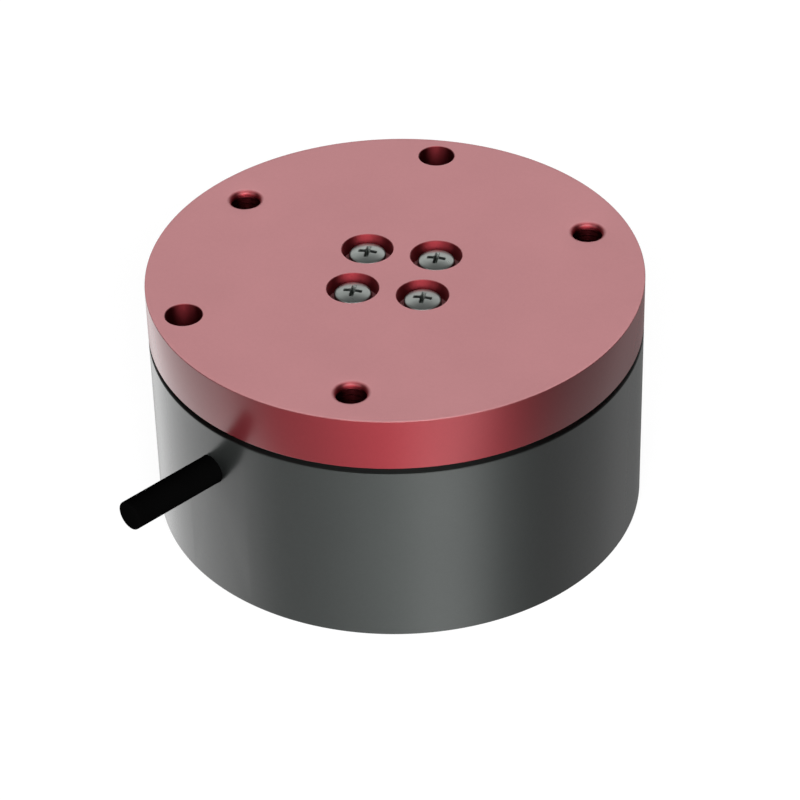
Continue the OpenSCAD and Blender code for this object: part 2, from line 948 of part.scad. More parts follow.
// Rubber bush squeezed between the jacket and the wall.
module cable_grommet() {
    color("#202020")
        along_cable()
            translate([0, 0, grommet_start])
                ring(grommet_r, cable_r, grommet_end - grommet_start);
}

// Saddle block that holds the jacket down on the shoulder.
module cable_clamp() {
    axis_h = cable_z - shoulder_top_z;
    color("#2B2D2E")
        at_clamp()
            difference() {
                union() {
                    translate([0, -clamp_foot_w / 2, 0])
                        cube([clamp_l, clamp_foot_w, clamp_foot_h]);
                    translate([0, 0, axis_h])
                        rotate([0, 90, 0])
                            cylinder(r = clamp_saddle_r, h = clamp_l);
                    translate([0, -clamp_saddle_r, 0])
                        cube([clamp_l, 2 * clamp_saddle_r, axis_h]);
                }
                translate([-1, 0, axis_h])
                    rotate([0, 90, 0])
                        cylinder(r = cable_r, h = clamp_l + 2);
                for (y = [-1, 1] * clamp_screw_y)
                    translate([clamp_l / 2, y, -1])
                        cylinder(r = m25_r, h = clamp_foot_h + 2);
            }
}

module clamp_screws() {
    color("#A8A9AD")
        at_clamp()
            for (y = [-1, 1] * clamp_screw_y)
                translate([clamp_l / 2, y, clamp_foot_h])
                    pan_screw(clamp_head_r, clamp_head_h, m25_r, clamp_screw_l);
}

tool_flange();
flange_screws();
hub_pins();
dust_seal();
sensing_element();
strain_gauges();
gauge_terminals();
flex_leads();
flex_sockets();
element_screws();
element_pins();
housing();
bottom_cover();
bottom_gasket();
bottom_cover_screws();
top_cover();
top_gasket();
top_cover_screws();
circuit_board();
board_standoffs();
board_screws();
processor_chip();
amplifier_chips();
converter_chips();
chip_capacitors();
clock_crystal();
cable_header();
cable_plug();
conductors();
cable();
cable_grommet();
cable_clamp();
clamp_screws();
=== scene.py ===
"""Looks of an 80 mm force and torque sensor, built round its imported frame.

The red tool flange, its pan head screws, the dark housing, the bottom cover with its screws, the
cable and its conductors are made here as welded numpy surfaces, with threads and fine edge breaks.
The other pieces keep their frame meshes. Shapes are worked out in millimetres and scaled to metres
as a mesh is made. A bearing is in degrees from +X, anticlockwise about the part's axis.
"""

import json
import logging
import math
from collections.abc import Callable, Sequence
from dataclasses import dataclass, field
from enum import Enum

import bpy
import numpy as np
from mathutils import Matrix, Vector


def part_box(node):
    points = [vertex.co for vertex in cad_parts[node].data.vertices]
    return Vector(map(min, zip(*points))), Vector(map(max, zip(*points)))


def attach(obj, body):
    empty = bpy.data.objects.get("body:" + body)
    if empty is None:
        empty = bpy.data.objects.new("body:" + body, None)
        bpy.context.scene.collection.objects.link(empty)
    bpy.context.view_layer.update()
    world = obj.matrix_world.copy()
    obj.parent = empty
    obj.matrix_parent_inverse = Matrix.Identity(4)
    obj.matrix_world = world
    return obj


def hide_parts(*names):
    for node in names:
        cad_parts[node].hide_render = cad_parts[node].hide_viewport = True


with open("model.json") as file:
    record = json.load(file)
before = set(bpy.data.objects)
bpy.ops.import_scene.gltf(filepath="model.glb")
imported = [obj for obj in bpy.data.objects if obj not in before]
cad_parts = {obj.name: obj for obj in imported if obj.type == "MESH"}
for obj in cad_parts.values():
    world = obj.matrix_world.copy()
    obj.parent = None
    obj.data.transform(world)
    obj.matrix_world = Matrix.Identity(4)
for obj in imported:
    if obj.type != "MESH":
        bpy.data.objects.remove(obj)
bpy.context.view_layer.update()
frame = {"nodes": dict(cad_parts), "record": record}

Array = np.ndarray
Profile = Sequence[tuple[float, float]] | Array
Color = tuple[float, float, float]
Socket = bpy.types.NodeSocket

MM = 0.001
TAU = 2 * math.pi
WIRE_COLOR = "wire_color"

# Steps of a full turn round the part and round a hole, and stretches across a holed ring or wall.
TURN_STEPS = 384
HOLE_STEPS = 96
RING_ROWS = 8
WALL_ROWS = 10

# Half sectors, in degrees, that a hole takes of a ring: a quarter of the ring round the hub, a
# hole near the axis, a mounting hole and a screw hole.
QUARTER = 45
BROAD = 15
WIDE = 9.375
SMALL = 4.6875

# Painted shade below LIT keeps a face's outside finish; GAP is the painted shade of a narrow gap.
LIT = 0.05
GAP = 0.6

EDGE = 0.2
WELD = 2e-4
SHARP = math.radians(32)
DIAGONALS = (45, 135, 225, 315)
TURN_OVER = Matrix.Rotation(math.pi, 4, "X")

log = logging.getLogger("sensor")


# ---- Names ----


class Slot(Enum):
    """The record's material slots."""

    RED_ANODISED = "red_anodised"
    DARK_ANODISED = "dark_anodised"
    BARE_ALUMINIUM = "bare_aluminium"
    PLATED_STEEL = "plated_steel"
    PIN_STEEL = "pin_steel"
    BLACK_STEEL = "black_steel"
    STANDOFF_BRASS = "standoff_brass"
    GAUGE_FOIL = "gauge_foil"
    AMBER_FILM = "amber_film"
    BOARD_GREEN = "board_green"
    CHIP_BLACK = "chip_black"
    TAN_CERAMIC = "tan_ceramic"
    CREAM_PLASTIC = "cream_plastic"
    WIRE_INSULATION = "wire_insulation"
    CABLE_JACKET = "cable_jacket"
    BLACK_RUBBER = "black_rubber"


class Side(Enum):
    """Which way a face or a screw head looks: up from the part, or down to its base."""

    UP = 1
    DOWN = -1


# ---- Surfaces ----


def node_box(name: str) -> Array:
    """Lowest and highest corner of a frame node, in millimetres."""
    return np.array(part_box(name)) / MM


def around(angle: Array) -> Array:
    """Unit vectors (cos a, sin a) of the level plane."""
    return np.stack([np.cos(angle), np.sin(angle)], -1)


def axes_at(bearing: float) -> tuple[Array, Array]:
    """Unit vectors outwards and anticlockwise at a bearing, in the level plane."""
    a = math.radians(bearing)
    return np.array([math.cos(a), math.sin(a), 0.0]), np.array([-math.sin(a), math.cos(a), 0.0])


def ring_angles(start: float, count: int) -> list[float]:
    """Equally spaced bearings."""
    return [start + 360 / count * i for i in range(count)]


RIM = TAU * np.arange(HOLE_STEPS + 1) / HOLE_STEPS
LOOP = around(RIM[:-1])


def carried(radius: Array, height: Array, angle: Array) -> Array:
    """Rings about the axis: x = r cos a, y = r sin a, z = h.

    Args:
        radius: Radius of each row, or of each point.
        height: Height of each row.
        angle: Angle of each column.

    Returns:
        A grid of points, one row for each height.
    """
    x, y = radius * np.cos(angle), radius * np.sin(angle)
    return np.stack([x, y, np.broadcast_to(height, x.shape)], -1)


def turned(
    profile: Profile, first: int = 0, last: int | None = None, turn: int = TURN_STEPS
) -> Array:
    """A profile carried round the axis in equal steps.

    A profile that runs out along a base, up a wall and in along a top faces outwards.

    Args:
        profile: Points of (radius, height).
        first: Index of the first step round the axis.
        last: Index of the last step, or None for a full turn.
        turn: Number of steps in a full turn.

    Returns:
        A grid of points, one row for each profile point.
    """
    radius, height = np.asarray(profile, float).T[..., None]
    steps = np.arange(first, (turn if last is None else last) + 1)
    return carried(radius, height, TAU * steps / turn)


def level_rows(z: float, outer: float, inner: float, rows: int = RING_ROWS) -> Array:
    """Profile of a level ring that looks up, in equal stretches from its outer edge inwards."""
    return np.stack([np.linspace(outer, inner, rows + 1), np.full(rows + 1, z)], -1)


def eased(profile: Profile, edges: dict[int, float]) -> Array:
    """A profile with some corners rounded by (1 - t)^2 a + 2 t (1 - t) corner + t^2 b.

    Args:
        profile: The sharp profile.
        edges: For each corner's index, how far from it the curve starts and ends.

    Returns:
        The new profile.
    """
    points = np.asarray(profile, float)
    t = np.linspace(0, 1, 5)[:, None]
    parts = []
    for i, corner in enumerate(points):
        if i not in edges:
            parts.append(corner[None])
            continue
        before, after = points[i - 1] - corner, points[i + 1] - corner
        a = corner + edges[i] * before / np.linalg.norm(before)
        b = corner + edges[i] * after / np.linalg.norm(after)
        parts.append((1 - t) ** 2 * a + 2 * t * (1 - t) * corner + t**2 * b)
    return np.concatenate(parts)


def closed(loops: Sequence[Array]) -> Array:
    """Loops as the rows of a grid, each with its first point given once more at its end."""
    rows = np.stack(loops)
    return np.concatenate([rows, rows[:, :1]], 1)


@dataclass
class Shell:
    """Collects patches of one solid and welds them into one closed mesh.

    Every face carries its painted shade: 0 outside, up to 1 deep in a narrow hole.
    """

    name: str
    points: list[Array] = field(default_factory=list)
    faces: list[Array] = field(default_factory=list)
    bored: list[Array] = field(default_factory=list)
    count: int = 0

    def grid(self, patch: Array, bored: float | Array = 0.0) -> None:
        """Adds a grid patch.

        Args:
            patch: Points of shape (rows, columns, 3). The face normal is the column direction
                crossed with the row direction.
            bored: Its painted shade, for all of it or for each strip between two rows.
        """
        rows, columns = patch.shape[:2]
        index = np.arange(rows * columns).reshape(rows, columns)
        quads = np.stack([index[:-1, :-1], index[:-1, 1:], index[1:, 1:], index[1:, :-1]], -1)
        strips = np.broadcast_to(bored, rows - 1)
        self.add(patch.reshape(-1, 3), quads.reshape(-1, 4), np.repeat(strips, columns - 1))

    def add(self, points: Array, faces: Array, bored: float | Array = 0.0) -> None:
        """Adds loose points and quads. A triangle is a quad that names one point twice.

        Args:
            points: Points of shape (n, 3).
            faces: Indices into those points, of shape (m, 4).
            bored: Their painted shade, for all of them or for each face.
        """
        self.points.append(points)
        self.faces.append(faces + self.count)
        self.bored.append(np.broadcast_to(bored, len(faces)))
        self.count += len(points)

    def zip_loops(self, outer: Array, inner: Array, flat: tuple[Array, Array]) -> None:
        """Fills the strip between two closed loops round one centre.

        Each point of either loop, in the order of its bearing from the centre, closes one
        triangle with the last point that was passed on the other loop.

        Args:
            outer: The outer loop's points, anticlockwise as seen from the side it faces.
            inner: The inner loop's points, anticlockwise too.
            flat: The same two loops in the plane, with the centre at zero.
        """
        bearing = [np.arctan2(p[:, 1], p[:, 0]) % TAU for p in flat]
        outer, inner = outer[np.argsort(bearing[0])], inner[np.argsort(bearing[1])]
        n, m = len(outer), len(inner)
        passed = np.concatenate([np.sort(b) for b in bearing])
        is_outer = np.argsort(passed, kind="stable") < n
        a, b = (np.cumsum(is_outer) - 1) % n, (np.cumsum(~is_outer) - 1) % m
        last_a, last_b = (a - is_outer) % n, (b - ~is_outer) % m
        faces = np.where(
            is_outer[:, None],
            np.stack([last_a, a, b + n, b + n], -1),
            np.stack([a, b + n, last_b + n, last_b + n], -1),
        )
        self.add(np.concatenate([outer, inner]), faces)

    def moved(self, place: Matrix) -> "Shell":
        """A copy under a rotation and a shift in millimetres, without scale or mirror."""
        m = np.array(place)
        placed = [p @ m[:3, :3].T + m[:3, 3] for p in self.points]
        return Shell(self.name, placed, list(self.faces), list(self.bored), self.count)

    def take(self, other: "Shell") -> None:
        """Adds all patches of another shell."""
        self.add(*(np.concatenate(a) for a in (other.points, other.faces, other.bored)))

    def mesh(self) -> bpy.types.Mesh:
        """Welds the patches and makes the mesh, smooth but for its sharp edges.

        Returns:
            The mesh, in metres.
        """
        points, faces = np.concatenate(self.points), np.concatenate(self.faces)
        spots = np.round(points / WELD).astype(np.int64)
        _, first, same = np.unique(spots, axis=0, return_index=True, return_inverse=True)
        faces = same.reshape(-1)[faces]
        keep = faces != np.roll(faces, 1, axis=1)
        size = keep.sum(1)
        crossed = (faces[:, 0] == faces[:, 2]) | (faces[:, 1] == faces[:, 3])
        whole = (size >= 3) & ~crossed
        faces, keep, size = faces[whole], keep[whole], size[whole]
        bored = np.concatenate(self.bored)[whole].astype(np.float32)
        corners = faces[keep]
        mesh = bpy.data.meshes.new(self.name)
        mesh.vertices.add(len(first))
        mesh.vertices.foreach_set("co", (points[first] * MM).ravel())
        mesh.loops.add(len(corners))
        mesh.loops.foreach_set("vertex_index", corners)
        mesh.polygons.add(len(size))
        mesh.polygons.foreach_set("loop_start", np.cumsum(size) - size)
        mesh.attributes.new("bored", "FLOAT", "FACE").data.foreach_set("value", bored)
        mesh.update(calc_edges=True)
        mesh.validate()
        mesh.shade_smooth()
        mesh.set_sharp_from_angle(angle=SHARP)
        return mesh


# ---- Holes, threads and faces ----


@dataclass(frozen=True)
class Thread:
    """A 60 degree thread on a round wall.

    The wall's radius is its own plus height times w, where w rises and falls once each pitch as
    z / pitch - angle / turn advances, and fades out at both ends of the threaded stretch.
    """

    pitch: float
    height: float
    rows_per_turn: int = 12
    run_out: float = 0.5

    def wave(self, phase: Array) -> Array:
        """Height from 0 to 1 over the turns along the helix, flat at its top and its bottom."""
        slope = np.abs((phase % 1.0) * 2 - 1)
        return np.clip((slope - 0.15) / 0.65, 0, 1)

    def wall(self, radius: float, start: float, end: float) -> Array:
        """The threaded wall as a closed grid.

        Args:
            radius: Radius of the plain wall.
            start: Height of the first row.
            end: Height of the last row.

        Returns:
            Points round the axis, one row for each height.
        """
        turns = abs(end - start) / self.pitch
        z = np.linspace(start, end, int(turns * self.rows_per_turn) + 2)[:, None]
        near = np.minimum(np.abs(z - start), np.abs(z - end)) / (self.run_out * self.pitch)
        fade = np.clip(near, 0, 1)
        r = radius + self.height * fade * self.wave(z / self.pitch - RIM / TAU)
        return carried(r, z, RIM)


M6_TAPPED = Thread(pitch=1.0, height=0.5)
M3_SCREW = Thread(pitch=0.5, height=-0.28, rows_per_turn=8)


@dataclass(frozen=True)
class Hole:
    """A round hole sunk from a face. Its profile runs down its own axis as (radius, depth).

    A radial hole, in a wall, has the height of its axis as its distance.
    """

    bearing: float
    distance: float
    profile: tuple[tuple[float, float], ...]
    half_sector: float
    thread: Thread | None = None
    threaded: tuple[float, float] = (0.0, 0.0)
    # Painted shade of its straight walls, and the depth below which a thread's painted shade grows.
    bored: float = 1.0
    lit_depth: float = 0.6

    @property
    def centre(self) -> Array:
        """Where its axis meets the face."""
        return self.distance * axes_at(self.bearing)[0][:2]

    @property
    def mouth(self) -> float:
        """Radius where it meets the face."""
        return self.profile[0][0]

    def steps(self) -> tuple[int, int]:
        """First and last step, round the part, of the sector that holds it."""
        first, last = self.bearing - self.half_sector, self.bearing + self.half_sector
        return round(first * TURN_STEPS / 360), round(last * TURN_STEPS / 360)

    def sink(self, shell: Shell, z: float) -> None:
        """Adds its wall and floor, below a face that looks up.

        A thread carries painted shade (depth / lit_depth - 1)^2, held between LIT and the hole's
        own.

        Args:
            shell: The shell that takes them.
            z: Height of the face.
        """
        offset = np.array([*self.centre, z])
        radius, depth = np.asarray(self.profile, float).T
        wall = carried(radius[:, None], -depth[:, None], RIM) + offset
        if self.thread is None:
            # The straight strips of its wall take its painted shade.
            shell.grid(wall, self.bored * np.isclose(np.diff(radius), 0))
            return
        top, bottom = self.threaded
        above, below = depth <= top + 1e-6, depth >= bottom - 1e-6
        # Painted shade: the sink ramps from none to LIT, and the thread darkens with depth.
        shell.grid(wall[above], np.linspace(0, LIT, above.sum() - 1))
        threads = self.thread.wall(radius[above][-1], -top, -bottom)
        shade = (-threads[1:, 0, 2] / self.lit_depth - 1) ** 2
        shell.grid(threads + offset, np.clip(shade, LIT, self.bored))
        shell.grid(wall[below], self.bored)

    def ring(self, r: float, reach: float, curved: bool = True) -> Array:
        """A ring about a radial hole's axis, on a round wall or on a flat across the axis.

        With v across the hole, a wall of radius R is met at sqrt(R^2 - v^2) from the part's axis.

        Args:
            r: Radius of the ring.
            reach: The wall's radius, or the flat's distance from the part's axis.
            curved: Whether it is a wall.

        Returns:
            Points of the ring, anticlockwise as seen from outside.
        """
        across, up = (r * LOOP).T[..., None]
        out, along = axes_at(self.bearing)
        met = np.sqrt(reach**2 - across**2) if curved else reach
        return met * out + across * along + (up + self.distance) * [0, 0, 1]


def tapped(bearing: float, distance: float) -> Hole:
    """A blind M6 hole with a rolled-over sink and the cone its drill leaves.

    The sink is a quarter round: r = wall + s (1 - sin t), depth = s (1 - cos t).

    Args:
        bearing: Bearing of its axis.
        distance: Distance of its axis from the part's.

    Returns:
        The hole.
    """
    wall, sink, thread_end, full_depth, tip = 2.42, 0.8, 6.0, 6.5, 8.0
    t = np.linspace(0, math.pi / 2, 10)
    lip = [(wall + sink * (1 - math.sin(a)), sink * (1 - math.cos(a))) for a in t]
    profile = (*lip, (wall, thread_end), (wall, full_depth), (0.0, tip))
    return Hole(bearing, distance, profile, WIDE, M6_TAPPED, (sink, thread_end))


def reamed(bearing: float, distance: float) -> Hole:
    """A blind dowel hole, 6 mm wide and deep, with a fine edge break."""
    profile = ((3.08, 0.0), (3.0, 0.08), (3.0, 6.0), (0.0, 6.0))
    # Its wall carries a painted shade of 0.6.
    return Hole(bearing, distance, profile, WIDE, bored=0.6)


def plain(bearing: float, distance: float, radius: float, depth: float, half_sector: float) -> Hole:
    """A small blind hole, or a through hole's upper end where its depth is 0."""
    profile = ((radius, 0.0), (radius, depth), (0.0, depth)) if depth else ((radius, 0.0),)
    return Hole(bearing, distance, profile, half_sector)


def sector_outline(first: int, last: int, near: float, far: float, rows: int) -> Array:
    """Closed outline of a sector: out along its start, round, in along its end and back.

    Args:
        first: First step round the part.
        last: Last step.
        near: Distance across the strip of its inner or lower edge.
        far: Distance of its outer or upper edge.
        rows: Number of stretches along each straight side.

    Returns:
        Points of (angle, distance), anticlockwise, with no point given twice.
    """
    arc = TAU * np.arange(first, last + 1) / TURN_STEPS
    side = np.linspace(far, near, rows + 1)
    pairs = ((arc[:-1], far), (arc[-1], side[:-1]), (arc[:0:-1], near), (arc[0], side[:0:-1]))
    return np.concatenate([np.stack(np.broadcast_arrays(a, d), -1) for a, d in pairs])


def plain_stretches(holes: Sequence[Hole]) -> list[tuple[int, int]]:
    """First and last step of each stretch that lies between the holes' sectors."""
    sectors = sorted(h.steps() for h in holes)
    starts = [s[0] for s in sectors[1:]] + [sectors[0][0] + TURN_STEPS]
    return [(a[1], b) for a, b in zip(sectors, starts) if b > a[1]]


def holed_face(shell: Shell, z: float, outer: float, inner: float, holes: Sequence[Hole]) -> None:
    """Adds a flat ring that looks up, with holes sunk into it.

    Each hole takes a sector of the ring, which is zipped to the hole's mouth, and the stretches
    between are polar grids that share the sectors' side points.

    Args:
        shell: The shell that takes it.
        z: Its height.
        outer: Its outer radius.
        inner: Its inner radius.
        holes: The holes in it.
    """
    for first, last in plain_stretches(holes):
        shell.grid(turned(level_rows(z, outer, inner), first, last))
    for hole in holes:
        outline = sector_outline(*hole.steps(), inner, outer, RING_ROWS)
        flat = outline[:, 1:] * around(outline[:, 0])
        mouth = hole.mouth * LOOP
        edge, lip = (np.insert(p, 2, z, axis=1) for p in (flat, mouth + hole.centre))
        shell.zip_loops(edge, lip, (flat - hole.centre, mouth))
        hole.sink(shell, z)


def holed_wall(shell: Shell, radius: float, low: float, high: float, hole: Hole, side: int) -> None:
    """Adds a round wall with one radial hole in it, without the hole's own wall.

    The strip is worked out unrolled, as (radius times angle, height), and rolled up at the end.
    A few rings round the mouth keep its faces even.

    Args:
        shell: The shell that takes it.
        radius: The wall's radius.
        low: Its lower edge.
        high: Its upper edge.
        hole: The radial hole.
        side: 1 for a wall that faces outwards, -1 for one that faces the axis.
    """
    levels = np.linspace(low, high, WALL_ROWS + 1)[::side]
    for start, end in plain_stretches([hole]):
        shell.grid(turned([(radius, z) for z in levels], start, end))
    outline = sector_outline(*hole.steps(), low, high, WALL_ROWS)[::side]
    flat = outline * [radius, 1] - [radius * math.radians(hole.bearing), hole.distance]
    nearest = min(flat[:, 0].max(), high - hole.distance, hole.distance - low)
    room = hole.mouth + 0.6 * (nearest - hole.mouth)
    collars = [hole.ring(r, radius)[::side] for r in np.linspace(room, hole.mouth, 5)]
    shell.grid(closed(collars))
    curved = np.column_stack([radius * around(outline[:, 0]), outline[:, 1]])
    mouth = room * LOOP[::side]
    shell.zip_loops(curved, collars[0], (flat * [side, 1], mouth * [side, 1]))


# ---- Screws ----


@dataclass(frozen=True)
class CrossRecess:
    """A cross recess whose four wings narrow as they run down to a point."""

    reach: float
    half_wing: float
    depth: float
    fillet: float = 0.16
    bottom_share: float = 0.42

    def outline(self, share: float, grow: float = 0.0) -> Array:
        """The recess's outline at one level.

        A quarter is half a wing end, a side, a fillet between two wings, a side and half an end,
        and the four quarters are the same path turned by right angles.

        Args:
            share: Share of the depth, from 0 at the surface to 1 at the bottom.
            grow: How far the outline stands outside the recess's own.

        Returns:
            HOLE_STEPS points, anticlockwise.
        """
        scale = 1 - share * (1 - self.bottom_share)
        reach = self.reach * scale + grow
        wing = self.half_wing * (0.7 + 0.3 * scale) + grow
        round_end = 0.35 * wing
        bend = np.radians(np.linspace(270, 180, 9))
        inner = wing + self.fillet + self.fillet * around(bend)
        half = np.array([[reach, 0], [reach, wing - round_end], [reach - round_end, wing]])
        first = np.concatenate([half, np.linspace(half[-1], inner[0], 7)[1:-1]])
        spots = np.concatenate([first, inner, first[:0:-1, ::-1]])
        turns = [np.array([[c, s], [-s, c]]) for c, s in ((1, 0), (0, 1), (-1, 0), (0, -1))]
        return np.concatenate([spots @ t for t in turns])


@dataclass(frozen=True)
class ScrewShape:
    """A cross-recessed screw that stands on its shank, its head bearing at z = 0.

    The head's side is a profile carried round the axis, its top a spherical cap
    z = h - R + sqrt(R^2 - r^2), and the recess is a stack of outlines let into the cap.
    """

    head_h: float
    dome_r: float
    shank_r: float
    shank_l: float
    side: tuple[tuple[float, float], ...]
    recess: CrossRecess
    thread: Thread = M3_SCREW
    lip: float = 0.05
    grip: float = 0.3

    def on_cap(self, plan: Array, sunk: float = 0.0) -> Array:
        """Lifts plan points onto the cap, or sinks them below it."""
        r = np.linalg.norm(plan, axis=-1, keepdims=True)
        return np.hstack([plan, self.head_h - self.dome_r + np.sqrt(self.dome_r**2 - r**2) - sunk])

    def top(self, rim: Array) -> Array:
        """The cap and the recess.

        Args:
            rim: The cap's edge in plan.

        Returns:
            Their closed grid, from the edge to the recess's point.
        """
        collar = self.recess.outline(0, self.lip)
        share = np.linspace(0, 1, 7)[:, None, None]
        rows = [self.on_cap(p) for p in (1 - share) * rim + share * collar]
        for s in (0.0, 0.15, 0.55, 1.0):
            rows.append(self.on_cap(self.recess.outline(s), self.lip + s * self.recess.depth))
        point = [0.0, 0.0, self.head_h - self.recess.depth - 0.25]
        return closed([*rows, np.tile(point, (HOLE_STEPS, 1))])

    def shell(self) -> Shell:
        """One screw.

        Returns:
            The closed shell, its head bearing at z = 0.
        """
        shell = Shell("screw")
        tip = 0.6 * self.shank_r
        end = self.shank_r - tip - self.shank_l
        nose = [(0, -self.shank_l), (tip, -self.shank_l), (self.shank_r, end)]
        shell.grid(turned(nose, turn=HOLE_STEPS))
        shell.grid(self.thread.wall(self.shank_r, end, -self.grip))
        rim = self.side[-1][0] * LOOP
        edge = (self.side[-1][0], self.on_cap(rim)[0, 2])
        side = [(self.shank_r, -self.grip), (self.shank_r, 0.0), *self.side[:-1], edge]
        shell.grid(turned(side, turn=HOLE_STEPS))
        shell.grid(self.top(rim))
        return shell


# ---- Node trees ----


class Graph:
    """Adds nodes to a tree, each fed as it is made."""

    def __init__(self, tree: bpy.types.NodeTree) -> None:
        """Starts on a material's, world's or group's tree."""
        self.tree = tree

    def node(self, kind: str, inputs: dict | None = None, **settings: object) -> bpy.types.Node:
        """Makes one node.

        Args:
            kind: The node's type name.
            inputs: Sockets or constants for its inputs, by name or index.
            settings: Its own properties.

        Returns:
            The node.
        """
        made = self.tree.nodes.new(kind)
        for key, value in settings.items():
            setattr(made, key, value)
        for key, value in (inputs or {}).items():
            self.feed(made.inputs[key], value)
        return made

    def feed(self, socket: Socket, value: object) -> None:
        """Links a socket into another, or sets its constant.

        Args:
            socket: The input.
            value: A socket, or a constant of the input's kind.
        """
        if isinstance(value, Socket):
            self.tree.links.new(value, socket)
        else:
            socket.default_value = value

    def math(self, operation: str, a: object, b: object = 0.0) -> Socket:
        """One step of arithmetic."""
        return self.node("ShaderNodeMath", {0: a, 1: b}, operation=operation).outputs[0]

    def plus(self, a: object, b: object) -> Socket:
        """A sum."""
        return self.math("ADD", a, b)

    def times(self, a: object, b: object) -> Socket:
        """A product."""
        return self.math("MULTIPLY", a, b)

    def span(self, x: Socket, y: Socket) -> Socket:
        """The length of (x, y)."""
        return self.math("SQRT", self.plus(self.times(x, x), self.times(y, y)))

    def remap(
        self, value: object, low: object, high: object,
        start: float, end: float, smooth: bool = False,
    ) -> Socket:
        """Carries low to high over to start to end, clamped, straight or as a smooth step."""
        kind = "SMOOTHSTEP" if smooth else "LINEAR"
        inputs = {0: value, 1: low, 2: high, 3: start, 4: end}
        return self.node("ShaderNodeMapRange", inputs, interpolation_type=kind).outputs[0]

    def blend(self, factor: object, a: object, b: object, mode: str = "MIX") -> Socket:
        """Mixes two colours, or multiplies the first by the second as far as the factor says."""
        inputs = {0: factor, 6: a, 7: b}
        return self.node("ShaderNodeMix", inputs, data_type="RGBA", blend_type=mode).outputs[2]

    def place(self) -> Socket:
        """Object coordinates, which are the part's own frame in metres."""
        return self.node("ShaderNodeTexCoord").outputs["Object"]

    def split(self, vector: Socket) -> Sequence[Socket]:
        """The three parts of a vector."""
        return self.node("ShaderNodeSeparateXYZ", {0: vector}).outputs

    def noise(self, scale: object, detail: float = 2.0, vector: Socket | None = None) -> Socket:
        """Noise from 0 to 1 on Object coordinates, or on another vector."""
        inputs = {"Vector": vector or self.place(), "Scale": scale, "Detail": detail}
        return self.node("ShaderNodeTexNoise", inputs).outputs["Fac"]

    def shader_mix(self, factor: Socket, a: bpy.types.Node, b: bpy.types.Node) -> bpy.types.Node:
        """Mixes two shaders."""
        return self.node("ShaderNodeMixShader", {0: factor, 1: a.outputs[0], 2: b.outputs[0]})


def cleared(owner: bpy.types.Material | bpy.types.World) -> Graph:
    """A material's or a world's own tree, emptied.

    Args:
        owner: The new material or world.

    Returns:
        Its graph.
    """
    owner.use_nodes = True
    owner.node_tree.nodes.clear()
    return Graph(owner.node_tree)


def rgba(color: Color) -> tuple[float, float, float, float]:
    """A colour with full alpha."""
    return (*color, 1.0)


def blasted(graph: Graph, given: dict[str, Socket]) -> dict[str, Socket]:
    """Bead-blasted grain: two sizes of fine noise, as a height and a mask of its pits."""
    fine, coarse = graph.noise(given["Scale"], 3.0), graph.noise(graph.times(given["Scale"], 0.31))
    height = graph.plus(graph.times(fine, 0.65), graph.times(coarse, 0.35))
    return {"Height": height, "Pits": graph.remap(height, 0.35, 0.65, 1.0, 0.0)}


def turning(graph: Graph, given: dict[str, Socket]) -> dict[str, Socket]:
    """Turning marks: noise along the radius and the height, the same all the way round."""
    x, y, z = graph.split(graph.place())
    line = graph.node("ShaderNodeCombineXYZ", {0: graph.span(x, y), 1: z})
    return {"Height": graph.noise(given["Scale"], 3.0, line.outputs[0])}


def mottled(graph: Graph, given: dict[str, Socket]) -> dict[str, Socket]:
    """Slow variation over the surface, such as handling leaves: a value about 0.5."""
    return {"Value": graph.remap(graph.noise(given["Scale"], 4.0), 0.3, 0.7, 0.0, 1.0)}


def levelled(graph: Graph, given: dict[str, Socket]) -> dict[str, Socket]:
    """A mask of the level faces: 1 where the normal is upright, 0 on walls."""
    normal = graph.node("ShaderNodeNewGeometry").outputs["True Normal"]
    upright = graph.math("ABSOLUTE", graph.split(normal)[2])
    return {"Mask": graph.remap(upright, given["Low"], given["High"], 0.0, 1.0)}


class Effect(Enum):
    """Node groups that several finishes use."""

    BLASTED = "blasted_grain"
    TURNED = "turning_marks"
    MOTTLE = "soft_mottle"
    LEVEL = "level_faces"

    def tree(self) -> bpy.types.NodeTree:
        """Builds the group.

        Returns:
            Its node tree.
        """
        build, defaults = EFFECTS[self]
        tree = bpy.data.node_groups.new(self.value, "ShaderNodeTree")
        graph, new_socket = Graph(tree), tree.interface.new_socket
        for key, value in defaults.items():
            new_socket(key, in_out="INPUT", socket_type="NodeSocketFloat").default_value = value
        outputs = build(graph, graph.node("NodeGroupInput").outputs)
        for key in outputs:
            new_socket(key, in_out="OUTPUT", socket_type="NodeSocketFloat")
        graph.node("NodeGroupOutput", outputs)
        return tree

    def add(self, graph: Graph, **inputs: object) -> dict[str, Socket]:
        """Places the group in a material, with its own values.

        Args:
            graph: The material's graph.
            inputs: Values for the group's inputs.

        Returns:
            The group node's outputs.
        """
        tree = bpy.data.node_groups.get(self.value) or self.tree()
        made = graph.node("ShaderNodeGroup", node_tree=tree)
        for key, value in inputs.items():
            graph.feed(made.inputs[key], value)
        return made.outputs


EFFECTS: dict[Effect, tuple[Callable, dict[str, float]]] = {
    Effect.BLASTED: (blasted, {"Scale": 5200.0}),
    Effect.TURNED: (turning, {"Scale": 4000.0}),
    Effect.MOTTLE: (mottled, {"Scale": 60.0}),
    Effect.LEVEL: (levelled, {"Low": 0.65, "High": 0.97}),
}


# ---- Finishes ----


